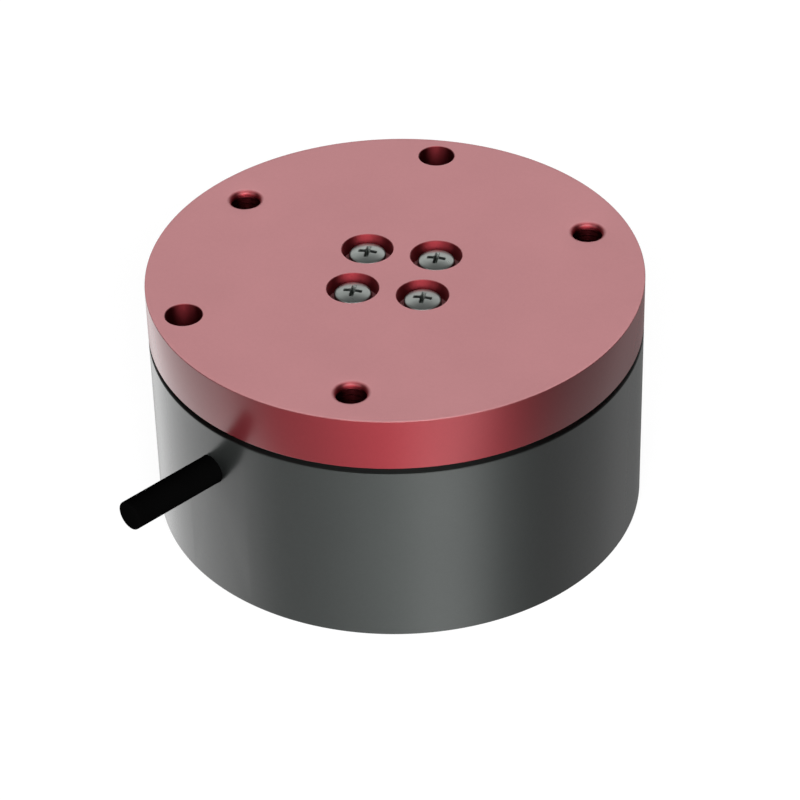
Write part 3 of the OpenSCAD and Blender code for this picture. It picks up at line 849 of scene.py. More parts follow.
@dataclass(frozen=True)
class Finish:
    """A surface finish. Each kind dresses its own node tree."""

    color: Color
    roughness: float

    def material(self, slot: Slot) -> bpy.types.Material:
        """The finish's material, made when it is first asked for.

        Args:
            slot: The record's slot that it stands for.

        Returns:
            The material, named after the slot.
        """
        name = f"{slot.value}_finish"
        known = bpy.data.materials.get(name)
        if known:
            return known
        made = bpy.data.materials.new(name)
        graph = cleared(made)
        shader = graph.node("ShaderNodeBsdfPrincipled")
        graph.node("ShaderNodeOutputMaterial", {"Surface": shader.outputs[0]})
        self.dress(graph, shader)
        made.diffuse_color = rgba(self.color)
        return made

    def dress(self, graph: Graph, shader: bpy.types.Node) -> None:
        """Feeds the shader, which each kind does in its own way."""
        raise NotImplementedError

    def tone(
        self, graph: Graph, shader: bpy.types.Node, base_tint: object, mask: Socket, share: float
    ) -> None:
        """Feeds the colour: the base tint, brought down to a share of itself where the mask is 1.
        """
        faded = graph.blend(mask, base_tint, rgba((share,) * 3), mode="MULTIPLY")
        graph.feed(shader.inputs["Base Color"], faded)

    def gloss(self, graph: Graph, shader: bpy.types.Node, mottle: Socket, fine: Socket) -> None:
        """Feeds the roughness: the finish's own, a drift of 0.04 either way and a finer part."""
        drift = graph.remap(mottle, 0, 1, self.roughness - 0.04, self.roughness + 0.04)
        graph.feed(shader.inputs["Roughness"], graph.plus(drift, fine))

    def bump(self, graph: Graph, shader: bpy.types.Node, height: Socket, depth_um: float) -> None:
        """Feeds the normal from a height, of which 1 stands for a depth in micrometres."""
        inputs = {"Height": height, "Distance": depth_um * 1e-6, "Strength": 1.0}
        graph.feed(shader.inputs["Normal"], graph.node("ShaderNodeBump", inputs).outputs[0])


@dataclass(frozen=True)
class Anodised(Finish):
    """Dyed oxide on aluminium: a tinted metal under a clear coat.

    The metal is turned, so that its lobe is drawn out up and down. Level faces are blasted and so
    dull that their light spreads evenly, with a faint coat; their paler colour is the blasting and
    a painted sheen. Faces with painted shade are darkened by it and have no coat.
    """

    # Paler colour of level faces: their blasted finish and a painted sheen.
    level_color_and_sheen: Color = (0.12, 0.122, 0.12)
    face_coat: float = 0.12
    stretch: float = 0.9
    coat_roughness: float = 0.22
    coat_ior: float = 1.48
    grain_um: float = 1.2
    bored_roughness: float = 0.42
    bored_shade: float = 0.1

    def dress(self, graph: Graph, shader: bpy.types.Node) -> None:
        """Grain in the normal and roughness, a slow drift of the dye, and the three kinds of face:
        walls, level faces with a painted sheen, and faces darkened by painted shade.

        Args:
            graph: The material's graph.
            shader: Its Principled BSDF.
        """
        grain = Effect.BLASTED.add(graph)
        mottle = Effect.MOTTLE.add(graph, Scale=55.0)["Value"]
        bored = graph.node("ShaderNodeAttribute", attribute_name="bored").outputs["Fac"]
        unshaded = graph.remap(bored, 0.0, LIT, 1.0, 0.0)
        level = graph.times(Effect.LEVEL.add(graph)["Mask"], unshaded)
        # Painted shade darkens faces in holes and gaps; level faces take the paler colour and
        # painted sheen.
        shaded = tuple(c * self.bored_shade for c in self.color)
        wall = graph.blend(bored, rgba(self.color), rgba(shaded))
        base_tint = graph.blend(level, wall, rgba(self.level_color_and_sheen))
        drift = graph.plus(graph.times(mottle, 0.6), graph.times(grain["Pits"], 0.4))
        self.tone(graph, shader, base_tint, drift, 0.9)
        outside = graph.remap(unshaded, 0, 1, self.bored_roughness, self.roughness)
        rough = graph.plus(outside, graph.times(grain["Pits"], 0.03))
        graph.feed(shader.inputs["Roughness"], rough)
        graph.feed(shader.inputs["Metallic"], graph.math("SUBTRACT", 1.0, level))
        sheen = graph.times(unshaded, graph.remap(level, 0, 1, 1, self.face_coat))
        graph.feed(shader.inputs["Coat Weight"], sheen)
        upright = graph.node("ShaderNodeCombineXYZ", {2: 1.0}).outputs[0]
        graph.feed(shader.inputs["Tangent"], upright)
        shader.inputs["Anisotropic"].default_value = self.stretch
        shader.inputs["Specular IOR Level"].default_value = 0.0
        shader.inputs["Coat Roughness"].default_value = self.coat_roughness
        shader.inputs["Coat IOR"].default_value = self.coat_ior
        self.bump(graph, shader, grain["Height"], self.grain_um)


@dataclass(frozen=True)
class Metal(Finish):
    """Bare or plated metal with turning marks and a slow drift of its sheen."""

    marks_um: float = 1.0
    marks_scale: float = 4000.0
    tarnish: float = 0.85

    def dress(self, graph: Graph, shader: bpy.types.Node) -> None:
        """Marks in the normal and roughness, and a faint tarnish in the colour.

        Args:
            graph: The material's graph.
            shader: Its Principled BSDF.
        """
        marks = Effect.TURNED.add(graph, Scale=self.marks_scale)["Height"]
        mottle = Effect.MOTTLE.add(graph, Scale=400.0)["Value"]
        self.tone(graph, shader, rgba(self.color), mottle, self.tarnish)
        self.gloss(graph, shader, mottle, graph.remap(marks, 0.3, 0.7, -0.03, 0.03))
        shader.inputs["Metallic"].default_value = 1.0
        self.bump(graph, shader, marks, self.marks_um)


@dataclass(frozen=True)
class Moulded(Finish):
    """Moulded, extruded or coated plastic, rubber or ceramic with a fine grain."""

    grain_um: float = 4.0
    grain_scale: float = 3000.0
    specular: float = 0.5

    def tint(self, graph: Graph) -> object:
        """The colour that the mass is dyed with."""
        return rgba(self.color)

    def dress(self, graph: Graph, shader: bpy.types.Node) -> None:
        """Grain in the normal and roughness, and a slow drift of the colour.

        Args:
            graph: The material's graph.
            shader: Its Principled BSDF.
        """
        grain = Effect.BLASTED.add(graph, Scale=self.grain_scale)
        mottle = Effect.MOTTLE.add(graph, Scale=150.0)["Value"]
        self.tone(graph, shader, self.tint(graph), mottle, 0.82)
        self.gloss(graph, shader, mottle, graph.times(grain["Pits"], 0.05))
        shader.inputs["Specular IOR Level"].default_value = self.specular
        self.bump(graph, shader, grain["Height"], self.grain_um)


@dataclass(frozen=True)
class WireJackets(Moulded):
    """Insulation in one colour to each wire."""

    def tint(self, graph: Graph) -> object:
        """The colour that the wire's faces carry."""
        return graph.node("ShaderNodeAttribute", attribute_name=WIRE_COLOR).outputs["Color"]


# Paler colour of level faces: their blasted finish and a painted sheen.
RED_LEVEL_AND_SHEEN = (0.411, 0.185, 0.195)
FINISHES: dict[Slot, Finish] = {
    Slot.RED_ANODISED: Anodised((0.25, 0.029, 0.037), 0.6, level_color_and_sheen=RED_LEVEL_AND_SHEEN, coat_ior=1.55),
    Slot.DARK_ANODISED: Anodised((0.058, 0.063, 0.061), 0.6),
    Slot.BARE_ALUMINIUM: Metal((0.78, 0.79, 0.8), 0.28),
    Slot.PLATED_STEEL: Metal((0.29, 0.31, 0.295), 0.32, marks_um=1.2),
    Slot.PIN_STEEL: Metal((0.62, 0.62, 0.63), 0.2, marks_um=0.5),
    Slot.BLACK_STEEL: Metal((0.05, 0.05, 0.055), 0.38, marks_um=1.5),
    Slot.STANDOFF_BRASS: Metal((0.75, 0.56, 0.24), 0.25),
    Slot.GAUGE_FOIL: Metal((0.7, 0.45, 0.2), 0.35, marks_um=0.8, marks_scale=9000.0),
    Slot.AMBER_FILM: Moulded((0.55, 0.2, 0.03), 0.18, grain_um=1.0),
    Slot.BOARD_GREEN: Moulded((0.02, 0.13, 0.06), 0.3, grain_um=3.0, grain_scale=1800.0),
    Slot.CHIP_BLACK: Moulded((0.022, 0.022, 0.024), 0.5),
    Slot.TAN_CERAMIC: Moulded((0.42, 0.28, 0.15), 0.45),
    Slot.CREAM_PLASTIC: Moulded((0.75, 0.7, 0.56), 0.42),
    Slot.WIRE_INSULATION: WireJackets((0.35, 0.03, 0.025), 0.35),
    Slot.CABLE_JACKET: Moulded((0.0012,) * 3, 0.6, grain_um=6.0, grain_scale=2200.0, specular=0.0),
    Slot.BLACK_RUBBER: Moulded((0.004,) * 3, 0.65, grain_um=8.0, specular=0.1),
}


# ---- Pieces ----


def linked(name: str, data: bpy.types.ID) -> bpy.types.Object:
    """Puts a new object into the scene.

    Args:
        name: The object's name.
        data: Its mesh or camera.

    Returns:
        The object, at the origin.
    """
    made = bpy.data.objects.new(name, data)
    bpy.context.scene.collection.objects.link(made)
    return made


@dataclass(kw_only=True)
class Piece:
    """A new piece that stands for one node of the frame. Each kind fills its own shell."""

    name: str
    node: str
    slot: Slot

    def fill(self, shell: Shell) -> None:
        """Adds all of the piece's surfaces to an empty shell."""
        raise NotImplementedError

    def paint(self, mesh: bpy.types.Mesh) -> None:
        """Gives the faces what else their finish reads. Most pieces need nothing."""

    def build(self) -> bpy.types.Object:
        """Makes and dresses the piece.

        Returns:
            The piece, which rides on the part.
        """
        shell = Shell(self.name)
        self.fill(shell)
        mesh = shell.mesh()
        self.paint(mesh)
        mesh.materials.append(FINISHES[self.slot].material(self.slot))
        piece = linked(mesh.name, mesh)
        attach(piece, "root")
        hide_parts(self.node)
        log.info("%s: %d faces for %s", piece.name, len(mesh.polygons), self.node)
        return piece


@dataclass(kw_only=True)
class ToolFlange(Piece):
    """The red flange: hub joint, three tapped holes and two dowel holes."""

    name: str = "tool_flange_turned"
    node: str = "tool_flange"
    slot: Slot = Slot.RED_ANODISED
    rim_w: float = 0.6
    hole_ring_r: float = 28.6
    tap_distance: float = 33.0
    dowel_distance: float = 35.0
    screw_ring: tuple[float, float] = (13.4, 2.6)
    screw_distance: float = 8.0
    screw_hole_r: float = 1.7
    counterbore_r: float = 4.2
    counterbore_depth: float = 2.8
    counterbore_edge: float = 0.08
    hub_r: float = 11.02
    hub_core_r: float = 3.0
    seat_z: float = 34.5
    pin_r: float = 1.5
    pin_depth: float = 3.0

    def fill(self, shell: Shell) -> None:
        """Adds the tool face, the side and the lower face.

        Args:
            shell: The shell that takes them.
        """
        low, high = node_box(self.node)
        radius, base, top = high[0], low[2], high[2]
        self.face(shell, radius, top)
        inner = radius - self.rim_w
        side = [(inner, base), (radius, base), (radius, top), (inner, top)]
        shell.grid(turned(eased(side, {1: EDGE, 2: EDGE})))
        self.underside(shell, inner, base)

    def face(self, shell: Shell, radius: float, z: float) -> None:
        """Adds the tool face with all its holes.

        Args:
            shell: The shell that takes it.
            radius: The flange's radius.
            z: Height of the face.
        """
        r, depth, edge = self.counterbore_r, self.counterbore_depth, self.counterbore_edge
        drop = z - self.seat_z
        step = ((self.screw_hole_r, depth), (self.screw_hole_r, drop))
        sunk = ((r + edge, 0.0), (r, edge), (r, depth), *step)
        outer, inner = self.screw_ring
        # The counterbores' walls carry a faint painted shade of GAP * LIT.
        screws = [
            Hole(b, self.screw_distance, sunk, QUARTER, bored=GAP * LIT) for b in DIAGONALS
        ]
        taps = [tapped(b, self.tap_distance) for b in ring_angles(30, 3)]
        dowels = [reamed(b, self.dowel_distance) for b in (90, 210)]
        shell.grid(turned([(inner, z), (0.0, z)]))
        holed_face(shell, z, outer, inner, screws)
        shell.grid(turned(level_rows(z, self.hole_ring_r, outer)))
        holed_face(shell, z, radius - self.rim_w, self.hole_ring_r, taps + dowels)

    def underside(self, shell: Shell, outer: float, z: float) -> None:
        """Adds the lower face and the seat of the hub.

        Args:
            shell: The shell that takes them.
            outer: The face's outer radius.
            z: Height of the face.
        """
        under = Shell("under")
        seat = -self.seat_z
        under.grid(turned([*level_rows(-z, outer, self.hub_r, 11), (self.hub_r, seat)]))
        at = self.screw_distance
        screws = [plain(b, at, self.screw_hole_r, 0, BROAD) for b in DIAGONALS]
        pins = [plain(b, at, self.pin_r, self.pin_depth, BROAD) for b in (0, 180)]
        holed_face(under, seat, self.hub_r, self.hub_core_r, screws + pins)
        under.grid(turned([(self.hub_core_r, seat), (0.0, seat)]))
        shell.take(under.moved(TURN_OVER))


@dataclass(kw_only=True)
class ScrewSet(Piece):
    """Four equal screws at the diagonals."""

    shape: ScrewShape
    distance: float
    height: float
    side: Side = Side.UP

    def fill(self, shell: Shell) -> None:
        """Adds the screws.

        Args:
            shell: The shell that takes them.
        """
        one = self.shape.shell()
        facing = TURN_OVER if self.side is Side.DOWN else Matrix.Identity(4)
        for bearing in DIAGONALS:
            x, y, _ = self.distance * axes_at(bearing)[0]
            shell.take(one.moved(Matrix.Translation((x, y, self.height)) @ facing))


PAN_HEADS = ScrewSet(
    name="flange_pan_heads", node="flange_screws", slot=Slot.PLATED_STEEL, distance=8.0,
    height=39.2,
    shape=ScrewShape(
        head_h=2.4, dome_r=9.0, shank_r=1.5, shank_l=12.0,
        side=((2.9, 0.0), (3.0, 0.1), (3.0, 1.62), (2.98, 1.74), (2.93, 1.84), (2.84, 1.94)),
        recess=CrossRecess(1.5, 0.36, 1.4, bottom_share=0.75),
    ),
)
SUNK_HEADS = ScrewSet(
    name="cover_sunk_heads", node="bottom_cover_screws", slot=Slot.BLACK_STEEL, distance=24.2,
    height=1.55, side=Side.DOWN,
    shape=ScrewShape(
        head_h=1.35, dome_r=300.0, shank_r=1.25, shank_l=4.65,
        side=((2.32, 1.26), (2.36, 1.3), (2.33, 1.35)), recess=CrossRecess(1.2, 0.3, 1.0),
    ),
)


@dataclass(kw_only=True)
class Housing(Piece):
    """The dark housing with the cable's entry."""

    name: str = "housing_turned"
    node: str = "housing"
    slot: Slot = Slot.DARK_ANODISED
    entry_bearing: float = 235.0
    entry_z: float = 24.0
    entry_r: float = 2.45
    bush_r: float = 3.7
    bush_end: float = 37.0
    wall_end: float = 0.3
    rebate_r: float = 36.6
    rebate_z: float = 30.0
    chamber_r: float = 31.5
    floor_z: float = 20.0
    shoulder_z: float = 14.6
    bore_r: float = 20.5
    shoulder_r: float = 27.95
    recess_r: float = 29.4
    recess_z: float = 2.6
    foot_w: float = 0.4
    tap_distance: float = 34.0
    dowel_distance: float = 35.0
    small_r: float = 1.25
    cover_screws: tuple[float, float] = (33.7, 4.6)
    posts: tuple[float, float] = (26.0, 4.0)
    clamp: tuple[float, float] = (28.74, 3.4)
    clamp_spread: float = 10.02
    ring_distance: float = 24.2
    ring_r: float = 1.5
    ring_spread: float = 13.0
    ring_pin_depth: float = 3.5
    bush_sector: float = 12
    ring_sector: float = 4.1
    post_sector: float = 3.75
    clamp_sector: float = 3.1

    def fill(self, shell: Shell) -> None:
        """Adds the outside, the chamber, the cable's entry and the base.

        Args:
            shell: The shell that takes them.
        """
        radius, _, top = node_box(self.node)[1]
        self.outside(shell, radius, top)
        self.chamber(shell)
        self.entry(shell, radius)
        self.underside(shell, radius)

    def opening(self, r: float, half_sector: float) -> Hole:
        """The cable's radial hole, or the bush's, as a wall needs it."""
        return Hole(self.entry_bearing, self.entry_z, ((r, 0.0),), half_sector)

    def ring_screws(self) -> list[float]:
        """Bearings of the screws that hold the sensing element."""
        return [d + s * self.ring_spread for d in DIAGONALS for s in (-1, 1)]

    def outside(self, shell: Shell, radius: float, top: float) -> None:
        """Adds the outer wall, and the rim with its rebate, whose faces carry painted shade.

        Args:
            shell: The shell that takes them.
            radius: The housing's radius.
            top: Its height.
        """
        end = self.wall_end
        holed_wall(shell, radius, end, top - end, self.opening(self.entry_r, WIDE), 1)
        corner = [(radius, top - end), (radius, top)]
        brim = [*corner, (self.rebate_r, top), (self.rebate_r, self.rebate_z)]
        rim = eased(brim, {1: EDGE, 2: 0.1})
        # Painted shade on the rim: GAP over its top and rebate, fading round the edge to none on
        # the wall.
        rim_painted_shade = np.interp(rim[1:, 0], [radius - EDGE, radius - 0.01, radius], [GAP, 0.25, 0.0])
        shell.grid(turned(rim), rim_painted_shade)
        foot = [(radius - self.foot_w, 0.0), (radius, 0.0), (radius, end)]
        shell.grid(turned(eased(foot, {1: EDGE})))
        distance, depth = self.cover_screws
        screws = [plain(b, distance, self.small_r, depth, SMALL) for b in ring_angles(25, 6)]
        holed_face(shell, self.rebate_z, self.rebate_r, self.chamber_r, screws)

    def chamber(self, shell: Shell) -> None:
        """Adds the chamber's wall, the shoulder and the opening of the ring bore.

        Args:
            shell: The shell that takes them.
        """
        bush = self.opening(self.bush_r, self.bush_sector)
        holed_wall(shell, self.chamber_r, self.floor_z, self.rebate_z, bush, -1)
        sheer = ((self.ring_r, 0.0), (self.ring_r, self.floor_z - self.shoulder_z))
        at, half = self.ring_distance, self.ring_sector
        holes = [Hole(b, at, sheer, half) for b in self.ring_screws()]
        at, depth, half = *self.posts, self.post_sector
        holes += [plain(b, at, self.small_r, depth, half) for b in ring_angles(0, 4)]
        at, depth, half = *self.clamp, self.clamp_sector
        sides = [self.entry_bearing + s * self.clamp_spread for s in (-1, 1)]
        holes += [plain(b, at, self.small_r, depth, half) for b in sides]
        holed_face(shell, self.floor_z, self.chamber_r, self.bore_r, holes)
        shell.grid(turned([(self.bore_r, self.floor_z), (self.bore_r, self.shoulder_z)]))

    def entry(self, shell: Shell, radius: float) -> None:
        """Adds the cable's hole and the bush's bore behind it.

        Args:
            shell: The shell that takes them.
            radius: The housing's radius.
        """
        ring = self.opening(self.entry_r, WIDE).ring
        narrow, wide, step = self.entry_r, self.bush_r, self.bush_end
        flats = [ring(r, step, curved=False) for r in (narrow, wide)]
        shell.grid(closed([ring(narrow, radius), *flats, ring(wide, self.chamber_r)]))

    def underside(self, shell: Shell, radius: float) -> None:
        """Adds the mounting face, the cover's recess and the shoulder's lower face.

        Args:
            shell: The shell that takes them.
            radius: The housing's radius.
        """
        under = Shell("under")
        deep, shelf = -self.shoulder_z, -self.recess_z
        taps = [tapped(-b, self.tap_distance) for b in DIAGONALS]
        dowels = [reamed(b, self.dowel_distance) for b in (0, -180)]
        holed_face(under, 0.0, radius - self.foot_w, self.recess_r, taps + dowels)
        r = self.shoulder_r
        under.grid(turned([(self.recess_r, 0.0), (self.recess_r, shelf), (r, shelf), (r, deep)]))
        at = self.ring_distance
        holes = [plain(-b, at, self.ring_r, 0, SMALL) for b in self.ring_screws()]
        holes += [plain(-b, at, self.ring_r, self.ring_pin_depth, SMALL) for b in (45, 225)]
        holed_face(under, deep, r, self.bore_r, holes)
        shell.take(under.moved(TURN_OVER))


@dataclass(kw_only=True)
class BottomCover(Piece):
    """The disc that closes the base."""

    name: str = "bottom_cover_turned"
    node: str = "bottom_cover"
    slot: Slot = Slot.DARK_ANODISED
    ring: tuple[float, float] = (28.4, 20.0)
    screw_distance: float = 24.2
    screw_r: float = 1.25
    sink_r: float = 2.4
    sink_depth: float = 1.35

    def fill(self, shell: Shell) -> None:
        """Adds the lower face with its countersinks, the edge and the upper face.

        Args:
            shell: The shell that takes them.
        """
        low, high = node_box(self.node)
        radius, base, top = high[0], low[2], high[2]
        outer, inner = self.ring
        sunk = ((self.sink_r, 0.0), (self.screw_r, self.sink_depth), (self.screw_r, top - base))
        under = Shell("under")
        screws = [Hole(-b, self.screw_distance, sunk, BROAD) for b in DIAGONALS]
        holed_face(under, -base, outer, inner, screws)
        under.grid(turned(level_rows(-base, inner, 0.0)))
        wall = [(outer, -top), (radius, -top), (radius, -base), (outer, -base)]
        under.grid(turned(eased(wall, {1: EDGE, 2: EDGE})))
        shell.take(under.moved(TURN_OVER))
        through = [plain(b, self.screw_distance, self.screw_r, 0, BROAD) for b in DIAGONALS]
        holed_face(shell, top, outer, inner, through)
        shell.grid(turned([(inner, top), (0.0, top)]))


@dataclass(kw_only=True)
class Cable(Piece):
    """The jacketed cable, cut square."""

    name: str = "cable_jacket_tube"
    node: str = "cable"
    slot: Slot = Slot.CABLE_JACKET
    bearing: float = 235.0
    height: float = 24.0
    radius: float = 2.4
    start: float = 25.0
    end: float = 56.8
    wall_r: float = 40.0

    def along(self, distance: float) -> tuple[float, float, float]:
        """A point on the cable's axis, in metres."""
        a = math.radians(self.bearing)
        return (distance * math.cos(a) * MM, distance * math.sin(a) * MM, self.height * MM)

    def fill(self, shell: Shell) -> None:
        """Adds the jacket: a tube along Z, laid down and turned to the cable's bearing.

        Args:
            shell: The shell that takes it.
        """
        levels = np.linspace(self.start, self.end, 40)
        profile = [(0.0, self.start), *((self.radius, z) for z in levels), (0.0, self.end)]
        tube = Shell(self.name)
        tube.grid(turned(eased(profile, {1: 0.15, len(levels): 0.3}), turn=HOLE_STEPS))
        heading = Matrix.Rotation(math.radians(self.bearing), 4, "Z")
        spot = Matrix.Translation((0, 0, self.height)) @ heading
        shell.take(tube.moved(spot @ Matrix.Rotation(math.pi / 2, 4, "Y")))

    def build(self) -> bpy.types.Object:
        """Returns:
            The piece.
        """
        piece = super().build()
        self.along(self.wall_r)
        [self.along(d) for d in np.linspace(self.start, self.end, 9)]
        return piece


@dataclass(kw_only=True)
class Conductors(Piece):
    """Six insulated conductors that fan out from the jacket's inner end into the board's plug.

    Each runs along the cubic (1-t)^3 a + 3t(1-t)^2 b + 3t^2(1-t) c + t^3 d, which leaves the jacket
    along its axis and enters the plug square to its face.
    """

    name: str = "conductor_tubes"
    node: str = "conductors"
    slot: Slot = Slot.WIRE_INSULATION
    cable: Cable
    colors: tuple[Color, ...] = (
        (0.43, 0.03, 0.03), (0.014, 0.014, 0.014), (0.028, 0.2, 0.044),
        (0.7, 0.7, 0.7), (0.58, 0.36, 0.02), (0.024, 0.115, 0.39),
    )
    radius: float = 0.3
    bundle_r: float = 1.5
    reach: float = 3.0
    pitch: float = 1.3
    plug_bearing: float = 200.0
    plug_half_d: float = 3.0
    steps: int = 30
    sides: int = 16

    def ends(self) -> tuple[Array, Array]:
        """Where each conductor leaves the jacket and where it enters the plug.

        The places in the plug's row follow the order across the bundle, so that none cross.

        Returns:
            Two arrays of points, one row for each conductor.
        """
        along, across = axes_at(self.cable.bearing)
        out, side = axes_at(self.plug_bearing)
        angle = TAU * (np.arange(len(self.colors)) + 0.5) / len(self.colors)
        jacket = np.array([0, 0, self.cable.height]) + self.cable.start * along
        swing = self.bundle_r * np.stack([np.sin(angle), np.cos(angle)], -1)
        starts = jacket + swing[:, :1] * across + swing[:, 1:] * [0, 0, 1]
        order = np.argsort(np.argsort(-np.sin(angle) - 0.01 * np.cos(angle)))
        places = (order - (len(self.colors) - 1) / 2) * self.pitch
        face = node_box("cable_plug").sum(0) / 2 + self.plug_half_d * side
        return starts, face + places[:, None] * out

    def tube(self, start: Array, end: Array) -> Array:
        """One conductor as a closed grid.

        Args:
            start: Where it leaves the jacket.
            end: Where it enters the plug.

        Returns:
            Its rings from end to end, between two rows that lie on its axis.
        """
        along, side = axes_at(self.cable.bearing)[0], axes_at(self.plug_bearing)[1]
        t = np.linspace(0, 1, self.steps + 1)[:, None]
        leave, enter = start - self.reach * along, end + self.reach * side
        path = (1 - t) ** 3 * start + 3 * t * (1 - t) ** 2 * leave
        path += 3 * t**2 * (1 - t) * enter + t**3 * end
        heading = np.gradient(path, axis=0)
        heading[0], heading[-1] = -along, -side
        heading /= np.linalg.norm(heading, axis=1)[:, None]
        flank = np.cross(heading, [0, 0, 1])
        flank /= np.linalg.norm(flank, axis=1)[:, None]
        lift = np.cross(heading, flank)
        turn = TAU * np.arange(self.sides + 1)[:, None] / self.sides
        ring = np.cos(turn) * flank[:, None] + np.sin(turn) * lift[:, None]
        caps = np.ones((1, self.sides + 1, 1))
        return np.concatenate([path[0] * caps, path[:, None] + self.radius * ring, path[-1] * caps])

    def fill(self, shell: Shell) -> None:
        """Adds the conductors, one after another."""
        for start, end in zip(*self.ends()):
            shell.grid(self.tube(start, end))

    def paint(self, mesh: bpy.types.Mesh) -> None:
        """Gives each conductor's faces its colour."""
        each = len(mesh.polygons) // len(self.colors)
        shades = np.repeat([rgba(c) for c in self.colors], each, axis=0)
        layer = mesh.attributes.new(WIRE_COLOR, "FLOAT_COLOR", "FACE")
        layer.data.foreach_set("color", shades.ravel())


class Inside:
    """Everything that keeps its frame mesh: it only takes its finish."""

    def build(self) -> None:
        """Gives every frame node the material of its slot."""
        parts = frame["record"]["subparts"]
        for part in parts:
            slot = Slot(part["material_slot"])
            for place in frame["nodes"][part["node"]].material_slots:
                place.material = FINISHES[slot].material(slot)
        log.info("inside: %d nodes dressed", len(parts))


# ---- Studio ----


@dataclass
class Camera:
    """The camera, aimed along a bearing and down at the part."""

    spot: tuple[float, float, float] = (93.08, -421.62, 336.61)
    yaw: float = 0.00074
    pitch: float = 0.63813
    roll: float = -0.02586
    turn: float = 12.45
    lens: float = 146.99

    def build(self) -> bpy.types.Object:
        """Makes the camera.

        Returns:
            The camera, which is the scene's own.
        """
        out = math.cos(self.pitch)
        heading = [math.sin(self.yaw) * out, math.cos(self.yaw) * out, -math.sin(self.pitch)]
        ahead = np.array(heading)
        level = np.cross(ahead, [0, 0, 1])
        level /= np.linalg.norm(level)
        lift = np.cross(level, ahead)
        c, s = math.cos(self.roll), math.sin(self.roll)
        axes = np.stack([c * level + s * lift, -s * level + c * lift, -ahead], -1)
        pose = np.eye(4)
        pose[:3, :3] = np.array(Matrix.Rotation(math.radians(self.turn), 3, "Z")) @ axes
        pose[:3, 3] = np.array(self.spot) * MM
        data = bpy.data.cameras.new("camera")
        data.lens, data.sensor_width = self.lens, 36.0
        data.clip_start, data.clip_end = 0.01, 50.0
        camera = linked("camera", data)
        camera.matrix_world = Matrix(pose.tolist())
        bpy.context.scene.camera = camera
        return camera


@dataclass(frozen=True)
class Card:
    """A soft card of light in the room round the part.

    Bearings are in degrees from the camera's, to its right, and elevations in degrees above the
    horizon. Its sides fade over the softness on both sides of its half width, and its upper and
    lower edges over the fade on both sides of their heights.
    """

    bearing: float
    half_width: float
    softness: float
    bottom: float
    top: float
    strength: float
    fade: float = 0.1

    def glow(self, graph: Graph, turn: float) -> Socket:
        """Its brightness in each direction.

        Args:
            graph: The world's graph, where Object coordinates are the direction.
            turn: Bearing of the camera in the part's own frame.

        Returns:
            The strength socket.
        """
        x, y, z = graph.split(graph.place())
        a = math.radians(self.bearing + turn)
        ahead = graph.plus(graph.times(x, math.cos(a)), graph.times(y, math.sin(a)))
        reach = graph.math("MAXIMUM", graph.span(x, y), 0.001)
        off = graph.math("ARCCOSINE", graph.math("DIVIDE", ahead, reach))
        near, far = (math.radians(self.half_width + s * self.softness) for s in (-1, 1))
        low, high = (math.sin(math.radians(e)) for e in (self.bottom, self.top))
        wide = graph.remap(off, near, far, 1.0, 0.0, smooth=True)
        rise = graph.remap(z, low - self.fade, low + self.fade, 0.0, 1.0, smooth=True)
        fall = graph.remap(z, high - self.fade, high + self.fade, 1.0, 0.0, smooth=True)
        return graph.times(graph.times(wide, graph.times(rise, fall)), self.strength)


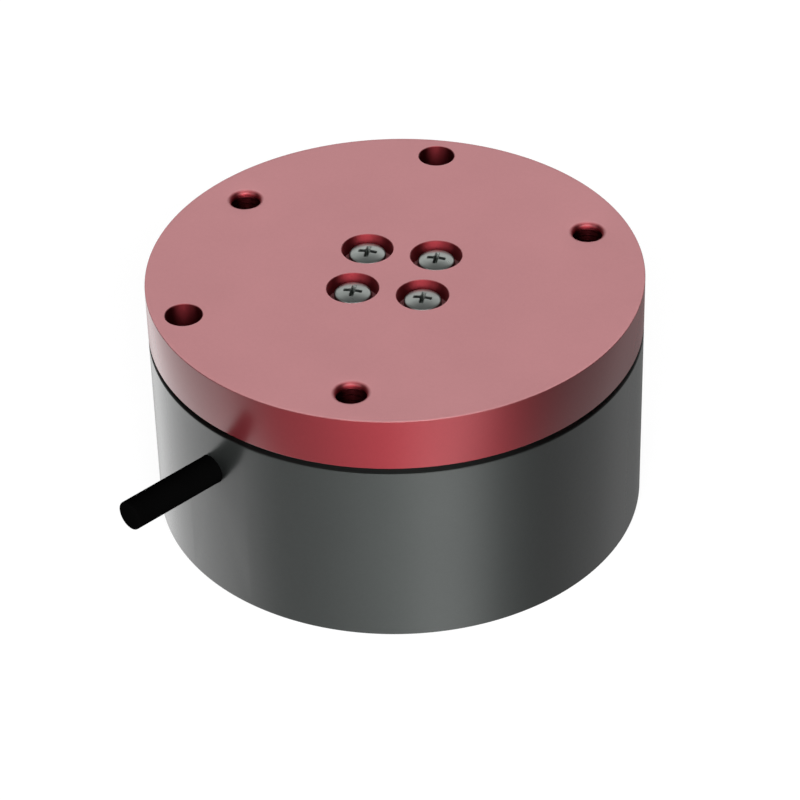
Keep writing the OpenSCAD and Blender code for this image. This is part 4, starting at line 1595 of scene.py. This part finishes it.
@dataclass
class Studio:
    """Floor and world, whose soft cards light the part."""

    floor_half: float = 3.0
    floor_z: float = -0.0001
    turn: float = -77.55
    fill: float = 0.21
    cards: tuple[Card, ...] = (
        Card(-118, 46, 18, -90, -2, 1.2),
        Card(105, 30, 20, -90, -2, 0.28),
        Card(22, 16, 14, -90, -2, 0.8),
        Card(14, 34, 22, 5, 40, 6.2),
        Card(-20, 44, 20, 5, 40, 4.0),
        Card(180, 50, 25, 0, 48, 1.0),
    )

    def build(self) -> None:
        """Makes the studio and the scene's view settings."""
        self.floor()
        self.world()
        scene = bpy.context.scene
        scene.view_settings.view_transform = "Standard"
        scene.render.film_transparent = False

    def floor(self) -> None:
        """Makes the pale floor, which lets reflections through to the world below it."""
        mesh = bpy.data.meshes.new("studio_floor")
        square = self.floor_half * np.array([(-1, -1), (1, -1), (1, 1), (-1, 1)])
        mesh.from_pydata(np.insert(square, 2, self.floor_z, axis=1), [], [(0, 1, 2, 3)])
        floor = linked("studio_floor", mesh)
        made = bpy.data.materials.new("studio_floor")
        mesh.materials.append(made)
        graph = cleared(made)
        rays = graph.node("ShaderNodeLightPath").outputs
        paper = graph.node("ShaderNodeBsdfDiffuse", {"Color": rgba((0.8,) * 3)})
        faint = graph.node("ShaderNodeBsdfDiffuse", {"Color": rgba((0.2,) * 3)})
        white = graph.node("ShaderNodeEmission", {"Color": rgba((1,) * 3), "Strength": 0.82})
        seen = graph.node("ShaderNodeAddShader", {0: white.outputs[0], 1: faint.outputs[0]})
        clear = graph.node("ShaderNodeBsdfTransparent")
        passed = graph.math("MAXIMUM", rays["Is Glossy Ray"], rays["Is Shadow Ray"])
        both = graph.shader_mix(rays["Is Camera Ray"], graph.shader_mix(passed, paper, clear), seen)
        graph.node("ShaderNodeOutputMaterial", {"Surface": both.outputs[0]})

    def world(self) -> None:
        """Makes the world: white to the camera, a room with soft cards to all else."""
        world = bpy.data.worlds.new("studio_world")
        graph = cleared(world)
        rays = graph.node("ShaderNodeLightPath").outputs
        level: object = self.fill
        for card in self.cards:
            level = graph.plus(card.glow(graph, self.turn), level)
        room, white = (
            graph.node("ShaderNodeBackground", {"Color": rgba((1,) * 3), "Strength": s})
            for s in (level, 1.0)
        )
        both = graph.shader_mix(rays["Is Camera Ray"], room, white)
        graph.node("ShaderNodeOutputWorld", {"Surface": both.outputs[0]})
        bpy.context.scene.world = world


def main() -> None:
    """Builds the scene."""
    logging.basicConfig(level=logging.INFO, format="%(message)s")
    Camera().build()
    cable = Cable()
    cable.build()
    Conductors(cable=cable).build()
    ToolFlange().build()
    PAN_HEADS.build()
    Housing().build()
    BottomCover().build()
    SUNK_HEADS.build()
    Inside().build()
    Studio().build()


if __name__ == "__main__":
    main()
